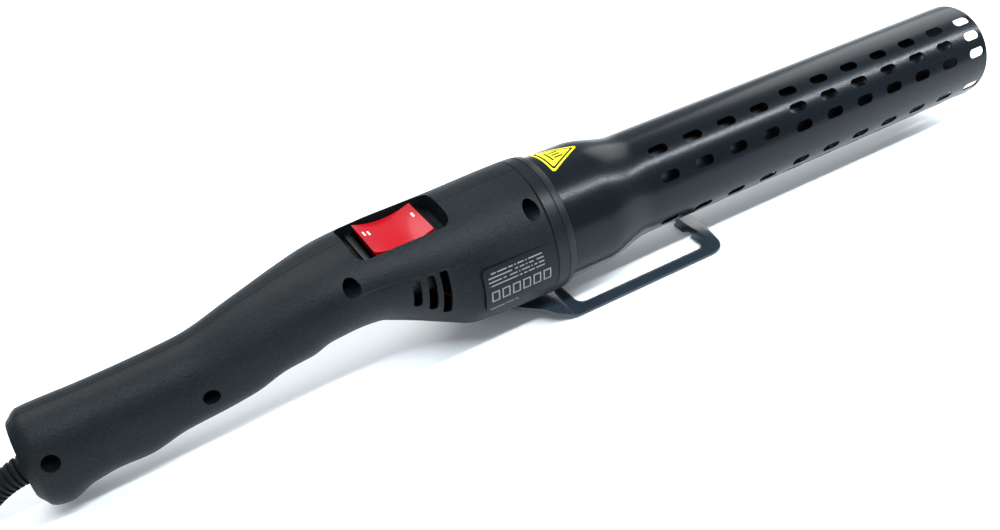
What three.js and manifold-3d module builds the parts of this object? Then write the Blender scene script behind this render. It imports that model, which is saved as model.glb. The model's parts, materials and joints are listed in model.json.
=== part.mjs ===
// Electric hot-air charcoal lighter: a two-part handle with a rocker switch, a fan and its motor, a mica
// heating element inside two coaxial steel tubes, a bent sheet stand and a mains lead.
// Millimetres. Every piece is drawn about the barrel axis: x runs forward from the joint between the handle
// and the front ring, y to the left, z up. The finished group is lifted so that the stand rests on z = 0 and
// shifted so that the tool's length is centred on the origin.
import * as THREE from 'three';
import { mergeVertices } from 'three/addons/utils/BufferGeometryUtils.js';
import Module from 'manifold-3d';

const wasm = await Module();
wasm.setup();

// Clearance between pieces that touch.
const GAP = 0.3;

// Barrel.
const TUBE_RADIUS = 24;
const TUBE_WALL = 0.8;
const TUBE_MOUTH = 268;
const NECK_STEP = 4.7;
const NECK_LENGTH = 31;
const TAPER_LENGTH = 26;
const FLANGE_BORE = 20.5;
const SLOT_LENGTH = 10;
const SLOT_WIDTH = 4.6;
const SLOT_RINGS = 11;
const SLOT_PITCH = 19.45;
const SLOT_FROM_MOUTH = 7.2;
const PAIRED_RINGS = 4;
const PAIR_SPREAD = 15.6;
const TRIPLE_SPREAD = 22;
const SLOT_GROUPS = [28, 135, 225, 315];

// Inner tube and heating element.
const AIR_GAP = 4.7;
const INNER_WALL = 0.6;
const INNER_SETBACK = 15;
const ELEMENT_START = 34;
const ELEMENT_LENGTH = 118;
const MICA = 0.8;
const LINER_WALL = 0.5;
const WIRE_RADIUS = 0.5;
const COIL_TURNS = 11;
const BASE_DISC_START = 12;
const BASE_DISC_THICKNESS = 5;

// Front ring, bulkhead and the screws that clamp the barrel.
const RING_LENGTH = 10;
const RING_WALL = 1.9;
const RING_FRONT_DROP = 0.9;
const WEB = 2;
const GASKET = 0.6;
const BULKHEAD = 2.2;
const FLANGE_SCREW_ANGLES = [30, 150, 270];
const M3_SHANK = 1.4;
const M3_HEAD = 2.7;
const M3_HEAD_HEIGHT = 1.9;
const M3_NUT = 2.9;
const M3_NUT_HEIGHT = 2.2;

// Handle shells.
const HANDLE_LENGTH = 217.5;
const HANDLE_WALL = 2.4;
const BODY_TAPER = 0.9;
const BODY_LENGTH = 34;
const GRIP_WIDTH = 32.6;
const GRIP_TOP = 11;
const GRIP_WAIST = -7;
const NECK_BOTTOM = -11.5;
const TAIL_BOTTOM = -33.3;
const SCREW_HOLE_RADIUS = 3.4;
const SCREW_BOSS_WALL = 1.3;
const HEAD_SEAT = 6;
const PILOT_DEPTH = 12;

// Switch, with the rocker's pivot across the handle.
const SWITCH_CENTRE = -58.5;
const SWITCH_LENGTH = 28;
const SWITCH_WIDTH = 1.075 * TUBE_RADIUS;
const SWITCH_DEPTH = 0.875 * TUBE_RADIUS;
const SWITCH_WALL = 0.9;
const BEZEL_LENGTH = SWITCH_LENGTH + 6;
const BEZEL_WIDTH = SWITCH_WIDTH + 0.8;
const BEZEL_HEIGHT = 2;
const ROCKER_LENGTH = SWITCH_LENGTH - 1.4;
const ROCKER_WIDTH = SWITCH_WIDTH - 2.6;
const ROCKER_RISE = 3.9;
const ROCKER_DISH = 2.7;
const PIVOT_DROP = 6.5;
const PIVOT_RADIUS = 1.2;
const PANEL_DROP = 10.4;
const RECESS_FRONT = SWITCH_CENTRE + SWITCH_LENGTH / 2 + 6.8;
const RECESS_REAR = SWITCH_CENTRE - SWITCH_LENGTH / 2 - 7.5;
const RECESS_WIDTH = SWITCH_WIDTH + 1.6;
const RECESS_CORNER = 5;
const TERMINAL_LENGTH = SWITCH_DEPTH / 3;
const TERMINAL_AT = SWITCH_LENGTH / 2 - 6;

// Fan and motor.
const IMPELLER_FRONT = -11;
const IMPELLER_DEPTH = 10;
const IMPELLER_BLADES = 7;
const HUB_RADIUS = 9;
const BLADE_THICKNESS = 1.4;
const FAN_CLEARANCE = 4.1;
const MOTOR_RADIUS = 12;
const MOTOR_LENGTH = 18.4;
const MOUNT_THICKNESS = 2;
const SHAFT_RADIUS = 1.15;
const BUSH_RADIUS = 3;
const BUSH_LENGTH = 3;

// Stand.
const STAND_DROP = 7.6;
const SHEET = 1.5;
const FLAT_DEPTH = 0.6;
const TAB_REAR = -35;
const TAB_HALF = 7.5;
const FLARE_START = -17;
const BEND_START = -2;
const BEND_END = 11;
const LOOP_FRONT = 99.5;
const LOOP_HALF = 26.5;
const LOOP_BAR = 6.5;
const FRONT_BAR = 11.5;
const REAR_BAR = 5.1;
const NOTCH_RADIUS = 3;
const NOTCH_OFFSET = 6.5;
const STAND_SCREW_AT = -28.5;
const STAND_SCREW_OFFSET = 3.5;
const STAND_BOSS = 8;

// Labels.
const FILM = 0.3;
const STICKER_SIDE = 22;
const STICKER_BASE = 14.3;
const STICKER_ANGLE = 85;
const PLATE_LENGTH = 34;
const PLATE_MARGIN = 1.2;
const PLATE_TOP_ANGLE = 20;
const PLATE_BOTTOM_ANGLE = -24;

// Mains lead.
const CORD_RADIUS = 3.5;
const CORD_DROP = 14.5;
const CORD_TILT = 8;
const RELIEF_RADIUS = 6;
const RELIEF_BEND = 30;
const RELIEF_ANGLE = 42;
const FLANGE_RADIUS = 8;
const RELIEF_TIP_WALL = 0.9;
const CORD_END_GAP = 0.5;
const COIL_OUTER = 47;
const COIL_INNER = 27;
const COIL_HEIGHT = 29;
const COIL_BACK = 81.5;
const COIL_LEFT = 24;

// Two-pin plug, lying beside the coil with its pins pointing left.
const PLUG_RADIUS = 18;
const PLUG_TAIL = 9;
const PLUG_LENGTH = 38;
const PIN_RADIUS = 2.4;
const PIN_LENGTH = 19;
const PIN_SPACING = 19;
const PIN_ROOT = 8;

// Worked out from the sizes above.
const NECK_RADIUS = TUBE_RADIUS + NECK_STEP;
const HOUSING_RADIUS = NECK_RADIUS + GAP + RING_WALL;
const HOUSING_BORE = HOUSING_RADIUS - HANDLE_WALL;
const INNER_RADIUS = TUBE_RADIUS - TUBE_WALL - AIR_GAP;
const INNER_MOUTH = TUBE_MOUTH - INNER_SETBACK;
const PANEL = HOUSING_RADIUS - PANEL_DROP;
const BEZEL_TOP = PANEL + GAP + BEZEL_HEIGHT;
const PIVOT = BEZEL_TOP - PIVOT_DROP;
const FLOOR = -(HOUSING_RADIUS + STAND_DROP);
const FLAT = -(HOUSING_RADIUS - FLAT_DEPTH);
const TUBE_FLANGE = GAP + WEB + GAP + GASKET + GAP;
const INNER_FLANGE = TUBE_FLANGE + TUBE_WALL + GAP;
const FLANGE_SCREW_RADIUS = (NECK_RADIUS - TUBE_WALL + INNER_RADIUS) / 2;
const MOUNT_REAR = IMPELLER_FRONT - IMPELLER_DEPTH - 1 - MOUNT_THICKNESS;
const MOTOR_FRONT = MOUNT_REAR - GAP;
const MOTOR_REAR = MOTOR_FRONT - MOTOR_LENGTH;
const TAIL = -HANDLE_LENGTH;
const HOUSING_SCREWS = [
  { x: -5, z: HOUSING_RADIUS - 7.9 },
  { x: -86, z: HOUSING_RADIUS - 10.9 },
  { x: TAIL + 69.5, z: GRIP_WAIST + 2 },
  { x: TAIL + 9.5, z: GRIP_WAIST + 3 },
];
const BOSS_RADIUS = SCREW_HOLE_RADIUS + SCREW_BOSS_WALL;

// ---------------------------------------------------------------------------------------------------------
// Solids
// ---------------------------------------------------------------------------------------------------------

const radians = (degrees) => degrees * Math.PI / 180;

function signedVolume(position, index) {
  const a = new THREE.Vector3();
  const b = new THREE.Vector3();
  const c = new THREE.Vector3();
  let volume = 0;
  for (let i = 0; i < index.count; i += 3) {
    a.fromBufferAttribute(position, index.getX(i));
    b.fromBufferAttribute(position, index.getX(i + 1));
    c.fromBufferAttribute(position, index.getX(i + 2));
    volume += a.dot(b.cross(c)) / 6;
  }
  return volume;
}

// A closed geometry as a manifold solid, faces turned outwards.
function solid(geometry) {
  const bare = geometry.clone();
  bare.deleteAttribute('normal');
  bare.deleteAttribute('uv');
  const merged = mergeVertices(bare, 1e-4);
  const triangles = Uint32Array.from(merged.index.array);
  const kept = [];
  for (let i = 0; i < triangles.length; i += 3) {
    const [a, b, c] = triangles.slice(i, i + 3);
    if (a !== b && b !== c && c !== a) {
      kept.push(a, b, c);
    }
  }
  merged.setIndex(kept);
  if (signedVolume(merged.attributes.position, merged.index) < 0) {
    for (let i = 0; i < kept.length; i += 3) {
      [kept[i + 1], kept[i + 2]] = [kept[i + 2], kept[i + 1]];
    }
  }
  const mesh = new wasm.Mesh({
    numProp: 3,
    vertProperties: Float32Array.from(merged.attributes.position.array),
    triVerts: Uint32Array.from(kept),
  });
  mesh.merge();
  return new wasm.Manifold(mesh);
}

function geometryOf(manifold) {
  const mesh = manifold.getMesh();
  const geometry = new THREE.BufferGeometry();
  geometry.setAttribute('position', new THREE.BufferAttribute(mesh.vertProperties, 3));
  geometry.setIndex(new THREE.BufferAttribute(mesh.triVerts, 1));
  geometry.computeVertexNormals();
  return geometry;
}

const cut = (body, ...tools) => tools.reduce((left, tool) => left.subtract(tool), body);
const join = (body, ...others) => others.reduce((left, other) => left.add(other), body);

// A solid of revolution about the barrel axis, from [x, radius] points that close on themselves.
function turned(points, segments = 36) {
  const profile = points.map(([x, radius]) => new THREE.Vector2(radius, x));
  profile.push(profile[0].clone());
  return solid(new THREE.LatheGeometry(profile, segments).rotateZ(-Math.PI / 2));
}

const sleeve = (x0, x1, inner, outer, segments) => (
  turned([[x0, inner], [x0, outer], [x1, outer], [x1, inner]], segments)
);

function box(x0, x1, y0, y1, z0, z1) {
  const geometry = new THREE.BoxGeometry(x1 - x0, y1 - y0, z1 - z0);
  return solid(geometry.translate((x0 + x1) / 2, (y0 + y1) / 2, (z0 + z1) / 2));
}

// A rod between two values along one axis, through the point given by the other two coordinates.
function rod(axis, from, to, radius, [p, q], segments = 14) {
  const geometry = new THREE.CylinderGeometry(radius, radius, to - from, segments);
  geometry.translate(0, (from + to) / 2, 0);
  if (axis === 'x') {
    geometry.rotateZ(-Math.PI / 2).translate(0, p, q);
  } else if (axis === 'y') {
    geometry.translate(p, 0, q);
  } else {
    geometry.rotateX(Math.PI / 2).translate(p, q, 0);
  }
  return solid(geometry);
}

// A shape drawn in the xz plane, pushed across y.
function acrossY(shape, y0, y1, curveSegments = 6) {
  const geometry = new THREE.ExtrudeGeometry(shape, { depth: y1 - y0, bevelEnabled: false, curveSegments });
  return solid(geometry.rotateX(Math.PI / 2).translate(0, y1, 0));
}

// A shape drawn in the xy plane, pushed up z.
function upZ(shape, z0, z1, curveSegments = 6) {
  const geometry = new THREE.ExtrudeGeometry(shape, { depth: z1 - z0, bevelEnabled: false, curveSegments });
  return solid(geometry.translate(0, 0, z0));
}

// A shape drawn in the yz plane, pushed along x.
function alongX(shape, x0, x1, curveSegments = 6) {
  const geometry = new THREE.ExtrudeGeometry(shape, { depth: x1 - x0, bevelEnabled: false, curveSegments });
  return solid(geometry.rotateX(Math.PI / 2).rotateZ(Math.PI / 2).translate(x0, 0, 0));
}

const outline = (points) => new THREE.Shape(points.map(([a, b]) => new THREE.Vector2(a, b)));

function roundedRectangle(x0, x1, y0, y1, corner) {
  const shape = new THREE.Shape();
  shape.moveTo(x0 + corner, y0);
  shape.lineTo(x1 - corner, y0);
  shape.absarc(x1 - corner, y0 + corner, corner, -Math.PI / 2, 0);
  shape.lineTo(x1, y1 - corner);
  shape.absarc(x1 - corner, y1 - corner, corner, 0, Math.PI / 2);
  shape.lineTo(x0 + corner, y1);
  shape.absarc(x0 + corner, y1 - corner, corner, Math.PI / 2, Math.PI);
  shape.lineTo(x0, y0 + corner);
  shape.absarc(x0 + corner, y0 + corner, corner, Math.PI, Math.PI * 1.5);
  return shape;
}

function roundSection(radius, sides) {
  const points = [];
  for (let i = 0; i < sides; i += 1) {
    const angle = i * 2 * Math.PI / sides;
    points.push([radius * Math.cos(angle), radius * Math.sin(angle)]);
  }
  return outline(points);
}

// A round wire or cord along a curve.
function wire(curve, radius, sides, steps) {
  const shape = roundSection(radius, sides);
  return solid(new THREE.ExtrudeGeometry(shape, { steps, extrudePath: curve, bevelEnabled: false }));
}

const through = (points) => new THREE.CatmullRomCurve3(points.map((p) => new THREE.Vector3(...p)));

// Places a solid that is drawn pointing up z at an angle round the barrel axis.
function roundAxis(body, degrees) {
  return body.rotate([degrees - 90, 0, 0]);
}

// ---------------------------------------------------------------------------------------------------------
// Handle shape: stations along x, each an oval with its own top, bottom, half width and widest height
// ---------------------------------------------------------------------------------------------------------

// A smooth value between [x, value] points, without overshoot.
function smooth(points) {
  const slopes = points.map((point, i) => {
    if (i === 0 || i === points.length - 1) {
      return 0;
    }
    const before = (point[1] - points[i - 1][1]) / (point[0] - points[i - 1][0]);
    const after = (points[i + 1][1] - point[1]) / (points[i + 1][0] - point[0]);
    return before * after <= 0 ? 0 : 2 * before * after / (before + after);
  });
  return (x) => {
    const last = points.length - 2;
    const found = points.findIndex((point, i) => i <= last && x >= points[i + 1][0]);
    const i = found < 0 ? last : found;
    const [x0, v0] = points[i];
    const [x1, v1] = points[i + 1];
    const span = x1 - x0;
    const t = Math.min(1, Math.max(0, (x - x0) / span));
    const t2 = t * t;
    const t3 = t2 * t;
    return (2 * t3 - 3 * t2 + 1) * v0 + (t3 - 2 * t2 + t) * span * slopes[i]
      + (3 * t2 - 2 * t3) * v1 + (t3 - t2) * span * slopes[i + 1];
  };
}

const REAR_RADIUS = HOUSING_RADIUS - BODY_TAPER;
const GRIP_HALF = GRIP_WIDTH / 2;
const topLine = smooth([
  [0, HOUSING_RADIUS], [-BODY_LENGTH, REAR_RADIUS], [-75, HOUSING_RADIUS - 1.7], [-92, HOUSING_RADIUS - 3.4],
  [-125, GRIP_TOP + 9], [TAIL + 65, GRIP_TOP + 1.5], [TAIL + 30, GRIP_TOP - 0.5], [TAIL + 5, GRIP_TOP - 1],
  [TAIL, GRIP_TOP - 4],
]);
const bottomLine = smooth([
  [0, -HOUSING_RADIUS], [-BODY_LENGTH, -REAR_RADIUS + 0.5], [-47, -HOUSING_RADIUS + 5.8],
  [-59, -HOUSING_RADIUS + 11.4], [-67, -HOUSING_RADIUS + 15.6], [-75, NECK_BOTTOM], [-87, NECK_BOTTOM + 1],
  [-97, NECK_BOTTOM + 0.3], [-106, NECK_BOTTOM - 3], [-116, NECK_BOTTOM - 3.4],
  [TAIL + 86, TAIL_BOTTOM + 13.4], [TAIL + 72, TAIL_BOTTOM + 11], [TAIL + 58, TAIL_BOTTOM + 9.8],
  [TAIL + 41, TAIL_BOTTOM + 5.5], [TAIL + 31, TAIL_BOTTOM + 6.1], [TAIL + 20, TAIL_BOTTOM + 4.7],
  [TAIL + 9.5, TAIL_BOTTOM], [TAIL + 4, TAIL_BOTTOM + 1.2], [TAIL, TAIL_BOTTOM + 6],
]);
const halfWidth = smooth([
  [0, HOUSING_RADIUS], [-BODY_LENGTH, REAR_RADIUS], [-47, HOUSING_RADIUS - 3.1], [-67, HOUSING_RADIUS - 6.6],
  [-87, HOUSING_RADIUS - 8.4], [-108, GRIP_HALF + 4], [-128, GRIP_HALF + 1.8], [TAIL + 65, GRIP_HALF],
  [TAIL + 30, GRIP_HALF], [TAIL + 9.5, GRIP_HALF + 0.8], [TAIL + 4, GRIP_HALF], [TAIL, GRIP_HALF - 3.5],
]);
const waistLine = smooth([
  [0, 0], [-BODY_LENGTH, 0.5], [-47, 5], [-67, 11.5], [-87, 12], [-108, 7], [-130, 0],
  [TAIL + 65, GRIP_WAIST + 2], [TAIL + 30, GRIP_WAIST - 2], [TAIL, GRIP_WAIST - 4],
]);
const lowerPower = smooth([[0, 2], [-BODY_LENGTH, 2], [-60, 1.75], [-100, 1.85], [-130, 2.2], [TAIL, 2.3]]);
const STATION_MARKS = [
  0, -18, -BODY_LENGTH, -41, -47, -53, -60, -67, -75, -86, -97, -106, -116, -124,
  TAIL + 86, TAIL + 79, TAIL + 72, TAIL + 65, TAIL + 58, TAIL + 49, TAIL + 41, TAIL + 36, TAIL + 31,
  TAIL + 25, TAIL + 20, TAIL + 15, TAIL + 9.5, TAIL + 6, TAIL + 3, TAIL + 1, TAIL,
];

function stationAt(x, inset) {
  return {
    x,
    top: topLine(x) - inset,
    bottom: bottomLine(x) + inset,
    half: halfWidth(x) - inset,
    waist: waistLine(x),
    power: lowerPower(x),
  };
}

function ovalPoint(station, angle) {
  const sine = Math.sin(angle);
  const power = sine < 0 ? station.power : 2;
  const reach = sine < 0 ? station.waist - station.bottom : station.top - station.waist;
  const across = Math.sign(Math.cos(angle)) * Math.abs(Math.cos(angle)) ** (2 / power);
  const up = Math.sign(sine) * Math.abs(sine) ** (2 / power);
  return new THREE.Vector3(station.x, station.half * across, station.waist + reach * up);
}

// A body through the stations: a capped cylinder whose rings take the stations' ovals.
function lofted(stations, sides) {
  const steps = stations.length - 1;
  const geometry = new THREE.CylinderGeometry(1, 1, steps, sides, steps);
  const position = geometry.attributes.position;
  for (let i = 0; i < position.count; i += 1) {
    const station = stations[Math.round(position.getY(i) + steps / 2)];
    const centre = new THREE.Vector3(station.x, 0, (station.top + station.bottom) / 2);
    const reach = Math.hypot(position.getX(i), position.getZ(i));
    const edge = ovalPoint(station, Math.atan2(position.getZ(i), position.getX(i)));
    const point = centre.lerp(edge, reach);
    position.setXYZ(i, point.x, point.y, point.z);
  }
  return solid(geometry);
}

function handleBody() {
  return lofted(STATION_MARKS.map((x) => stationAt(x, 0)), 28);
}

function handleCavity() {
  const marks = STATION_MARKS.filter((x, i) => i % 2 === 0 && x < -1 && x > TAIL + 5);
  const stations = [GAP + 1, -1, ...marks, TAIL + HANDLE_WALL + 1].map((x) => stationAt(x, HANDLE_WALL));
  return lofted(stations, 28);
}

// ---------------------------------------------------------------------------------------------------------
// Handle shells
// ---------------------------------------------------------------------------------------------------------

function recess(grow) {
  const half = RECESS_WIDTH / 2 + grow;
  const shape = roundedRectangle(RECESS_REAR - grow, RECESS_FRONT + grow, -half, half, RECESS_CORNER + grow);
  return upZ(shape, PANEL - grow, HOUSING_RADIUS + 5, 3);
}

function switchOpening() {
  const half = SWITCH_LENGTH / 2 + GAP;
  const side = SWITCH_WIDTH / 2 + GAP;
  return box(SWITCH_CENTRE - half, SWITCH_CENTRE + half, -side, side, PANEL - 10, PANEL + 1);
}

// Three upright air slots on one side; side is -1 for the right, 1 for the left.
function ventCuts(side) {
  const vents = [
    { x: -61.2, low: 0, high: 14.6 },
    { x: -55, low: -4.4, high: 14.6 },
    { x: -49.4, low: -8.4, high: 15 },
  ];
  const width = 3.4;
  return vents.map(({ x, low, high }) => {
    const slot = roundedRectangle(x - width / 2, x + width / 2, low, high, width / 2 - 0.01);
    const [y0, y1] = side < 0 ? [-60, -SWITCH_WIDTH / 2 - 1] : [SWITCH_WIDTH / 2 + 1, 60];
    return acrossY(slot, y0, y1, 2);
  });
}

// The thick spot that the stand's screws bite into, and the flat that its tab lies against.
function standBoss() {
  const half = STAND_BOSS / 2;
  return box(STAND_SCREW_AT - half, STAND_SCREW_AT + half, -STAND_BOSS, STAND_BOSS, FLAT, FLAT + 6);
}

function standFlat() {
  return box(TAB_REAR - 2, 5, -HOUSING_RADIUS, HOUSING_RADIUS, -HOUSING_RADIUS - 5, FLAT);
}

function screwBosses(body) {
  return HOUSING_SCREWS.map(({ x, z }) => (
    rod('y', -60, 60, BOSS_RADIUS, [x, z]).intersect(body)
  ));
}

function bulkheadRibs() {
  return sleeve(-BULKHEAD - GAP - 1.6, -BULKHEAD - GAP, HOUSING_BORE - 2, HOUSING_BORE + 1);
}

function handleShell() {
  const hollowed = recess(0);
  const body = cut(handleBody(), hollowed);
  const cavity = cut(handleCavity(), recess(HANDLE_WALL));
  const shell = join(cut(body, cavity), ...screwBosses(body), bulkheadRibs(), standBoss());
  const exit = rod('x', TAIL - 5, TAIL + HANDLE_WALL + 6, RELIEF_RADIUS + GAP, [0, -CORD_DROP], 20);
  return cut(shell, switchOpening(), standFlat(), exit);
}

function halfOf(shell, side) {
  const splitGap = GAP / 2;
  const [y0, y1] = side < 0 ? [-90, -splitGap] : [splitGap, 90];
  const half = shell.intersect(box(TAIL - 20, 20, y0, y1, -90, 90));
  const standHole = rod('z', FLAT - 5, FLAT + 7, M3_SHANK + GAP, [STAND_SCREW_AT, side * STAND_SCREW_OFFSET], 10);
  return cut(half, ...ventCuts(side), standHole);
}

function housingRight(shell) {
  const cuts = HOUSING_SCREWS.flatMap(({ x, z }) => [
    rod('y', -60, -HEAD_SEAT, SCREW_HOLE_RADIUS, [x, z], 16),
    rod('y', -HEAD_SEAT - 1, 1, M3_SHANK + GAP, [x, z], 10),
  ]);
  return cut(halfOf(shell, -1), ...cuts);
}

function housingLeft(shell) {
  const cuts = HOUSING_SCREWS.map(({ x, z }) => rod('y', -1, PILOT_DEPTH, M3_SHANK + GAP, [x, z], 10));
  return cut(halfOf(shell, 1), ...cuts);
}

function housingScrew({ x, z }) {
  const head = rod('y', -HEAD_SEAT - GAP - 2, -HEAD_SEAT - GAP, M3_HEAD, [x, z]);
  const shank = rod('y', -HEAD_SEAT - GAP - 1, PILOT_DEPTH - 1, M3_SHANK, [x, z], 8);
  return join(head, shank);
}

// ---------------------------------------------------------------------------------------------------------
// Barrel
// ---------------------------------------------------------------------------------------------------------

// The S-shaped shoulder between neck and tube, seen as [x, radius] points; inset is a wall thickness.
function shoulder(inset) {
  const steps = 6;
  const points = [];
  for (let i = 0; i <= steps; i += 1) {
    const share = i / steps;
    const ease = share * share * (3 - 2 * share);
    points.push([NECK_LENGTH + TAPER_LENGTH * share, NECK_RADIUS - NECK_STEP * ease - inset]);
  }
  return points;
}

function slotCut(x, degrees) {
  const half = (SLOT_LENGTH - SLOT_WIDTH) / 2;
  const radius = SLOT_WIDTH / 2;
  const shape = new THREE.Shape();
  shape.absarc(x + half, 0, radius, -Math.PI / 2, Math.PI / 2);
  shape.absarc(x - half, 0, radius, Math.PI / 2, Math.PI * 1.5);
  return roundAxis(upZ(shape, TUBE_RADIUS - 4, TUBE_RADIUS + 4, 1), degrees);
}

function slotAngles(ring) {
  const spread = ring < PAIRED_RINGS ? [-PAIR_SPREAD, PAIR_SPREAD] : [-TRIPLE_SPREAD, 0, TRIPLE_SPREAD];
  return SLOT_GROUPS.flatMap((group) => spread.map((offset) => group + offset));
}

function barrelTube() {
  const rimLip = 0.6;
  const body = turned([
    [TUBE_FLANGE, FLANGE_BORE], [TUBE_FLANGE, NECK_RADIUS],
    ...shoulder(0),
    [TUBE_MOUTH - rimLip, TUBE_RADIUS], [TUBE_MOUTH, TUBE_RADIUS - rimLip / 2],
    [TUBE_MOUTH, TUBE_RADIUS - TUBE_WALL],
    ...shoulder(TUBE_WALL).reverse(),
    [TUBE_FLANGE + TUBE_WALL, NECK_RADIUS - TUBE_WALL], [TUBE_FLANGE + TUBE_WALL, FLANGE_BORE],
  ], 24);
  const slots = [];
  for (let ring = 0; ring < SLOT_RINGS; ring += 1) {
    const x = TUBE_MOUTH - SLOT_FROM_MOUTH - (SLOT_RINGS - 1 - ring) * SLOT_PITCH;
    slots.push(...slotAngles(ring).map((degrees) => slotCut(x, degrees)));
  }
  return cut(body, ...slots, ...flangeHoles(TUBE_FLANGE - 1, TUBE_FLANGE + TUBE_WALL + 1));
}

function flangeHoles(x0, x1) {
  return FLANGE_SCREW_ANGLES.map((degrees) => rod('x', x0, x1, M3_SHANK + GAP, screwPoint(degrees), 10));
}

function screwPoint(degrees) {
  const angle = radians(degrees);
  return [FLANGE_SCREW_RADIUS * Math.cos(angle), FLANGE_SCREW_RADIUS * Math.sin(angle)];
}

function innerTube() {
  const rim = FLANGE_SCREW_RADIUS + M3_HEAD + 0.5;
  const body = turned([
    [INNER_FLANGE, INNER_RADIUS - INNER_WALL], [INNER_FLANGE, rim], [INNER_FLANGE + INNER_WALL, rim],
    [INNER_FLANGE + INNER_WALL, INNER_RADIUS], [INNER_MOUTH, INNER_RADIUS],
    [INNER_MOUTH, INNER_RADIUS - INNER_WALL],
  ], 32);
  return cut(body, ...flangeHoles(INNER_FLANGE - 1, INNER_FLANGE + INNER_WALL + 1));
}

function frontRing() {
  const body = turned([
    [GAP, FLANGE_BORE], [GAP, HOUSING_RADIUS - 0.4], [GAP + 0.5, HOUSING_RADIUS],
    [RING_LENGTH - 4, HOUSING_RADIUS], [RING_LENGTH - 1, HOUSING_RADIUS - RING_FRONT_DROP * 0.6],
    [RING_LENGTH, HOUSING_RADIUS - RING_FRONT_DROP], [RING_LENGTH, NECK_RADIUS + GAP],
    [GAP + WEB, NECK_RADIUS + GAP], [GAP + WEB, FLANGE_BORE],
  ], 32);
  return cut(body, ...flangeHoles(-1, GAP + WEB + 1));
}

function flangeGasket() {
  const body = sleeve(2 * GAP + WEB, 2 * GAP + WEB + GASKET, FLANGE_BORE, NECK_RADIUS - 0.5);
  return cut(body, ...flangeHoles(0, 2 * GAP + WEB + GASKET + 1));
}

function bulkhead() {
  const body = sleeve(-BULKHEAD, 0, FLANGE_BORE, HOUSING_BORE - 2 * GAP, 28);
  const bossRoom = rod('y', -60, 60, BOSS_RADIUS + GAP, [HOUSING_SCREWS[0].x, HOUSING_SCREWS[0].z]);
  return cut(body, bossRoom, ...flangeHoles(-BULKHEAD - 1, 1));
}

const FLANGE_STACK = INNER_FLANGE + INNER_WALL + GAP;

function flangeScrew(degrees) {
  const at = screwPoint(degrees);
  const seat = -BULKHEAD - GAP;
  const head = rod('x', seat - M3_HEAD_HEIGHT, seat, M3_HEAD, at);
  return join(head, rod('x', seat - 1, FLANGE_STACK + M3_NUT_HEIGHT + 1, M3_SHANK, at, 8));
}

function flangeNut(degrees) {
  const at = screwPoint(degrees);
  const nut = rod('x', FLANGE_STACK, FLANGE_STACK + M3_NUT_HEIGHT, M3_NUT, at, 6);
  return cut(nut, rod('x', FLANGE_STACK - 1, FLANGE_STACK + M3_NUT_HEIGHT + 1, M3_SHANK + GAP, at, 8));
}

// ---------------------------------------------------------------------------------------------------------
// Heating element
// ---------------------------------------------------------------------------------------------------------

const LINER_RADIUS = INNER_RADIUS - INNER_WALL - GAP;
const COIL_PATH_RADIUS = LINER_RADIUS - LINER_WALL - GAP - WIRE_RADIUS;
const BOARD_HALF = COIL_PATH_RADIUS - WIRE_RADIUS - GAP;

function micaLiner() {
  return sleeve(ELEMENT_START - 6, ELEMENT_START + ELEMENT_LENGTH + 6, LINER_RADIUS - LINER_WALL,
    LINER_RADIUS, 28);
}

// One of two crossed boards, each slotted over half its length to take the other.
function micaBoard(upright) {
  const middle = ELEMENT_START + ELEMENT_LENGTH / 2;
  const end = ELEMENT_START + ELEMENT_LENGTH;
  const slot = MICA / 2 + GAP;
  const [x0, x1] = upright ? [middle - GAP / 2, end + 1] : [ELEMENT_START - 1, middle + GAP / 2];
  const flat = box(ELEMENT_START, end, -BOARD_HALF, BOARD_HALF, -MICA / 2, MICA / 2);
  const board = cut(flat, box(x0, x1, -slot, slot, -MICA, MICA));
  return upright ? board.rotate([90, 0, 0]) : board;
}

function heatingCoil() {
  const stepsPerTurn = 8;
  const length = ELEMENT_LENGTH - 8;
  const points = [];
  for (let i = 0; i <= COIL_TURNS * stepsPerTurn; i += 1) {
    const angle = i * 2 * Math.PI / stepsPerTurn;
    const x = ELEMENT_START + 4 + length * i / (COIL_TURNS * stepsPerTurn);
    points.push([x, COIL_PATH_RADIUS * Math.cos(angle), COIL_PATH_RADIUS * Math.sin(angle)]);
  }
  return wire(through(points), WIRE_RADIUS, 5, COIL_TURNS * stepsPerTurn);
}

function elementBase() {
  const holes = 6;
  const end = BASE_DISC_START + BASE_DISC_THICKNESS;
  const disc = rod('x', BASE_DISC_START, end, LINER_RADIUS, [0, 0], 28);
  const cuts = [];
  for (let i = 0; i < holes; i += 1) {
    const angle = radians(i * 360 / holes + 30);
    const reach = LINER_RADIUS * 0.6;
    const at = [reach * Math.cos(angle), reach * Math.sin(angle)];
    cuts.push(rod('x', BASE_DISC_START - 1, end + 1, LINER_RADIUS * 0.22, at, 10));
  }
  return cut(disc, ...cuts);
}

function thermalCutout() {
  const start = BASE_DISC_START + BASE_DISC_THICKNESS + GAP;
  const shape = roundedRectangle(-3.5, 3.5, -2, 2, 1);
  return alongX(shape, start, start + 12, 2);
}

function thermalFuse() {
  const start = BASE_DISC_START + BASE_DISC_THICKNESS + GAP;
  const body = rod('x', start + 1.5, start + 10, 1.6, [0, 6], 10);
  return join(body, rod('x', start, start + 11.5, 0.5, [0, 6], 6));
}

// ---------------------------------------------------------------------------------------------------------
// Fan and motor
// ---------------------------------------------------------------------------------------------------------

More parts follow.
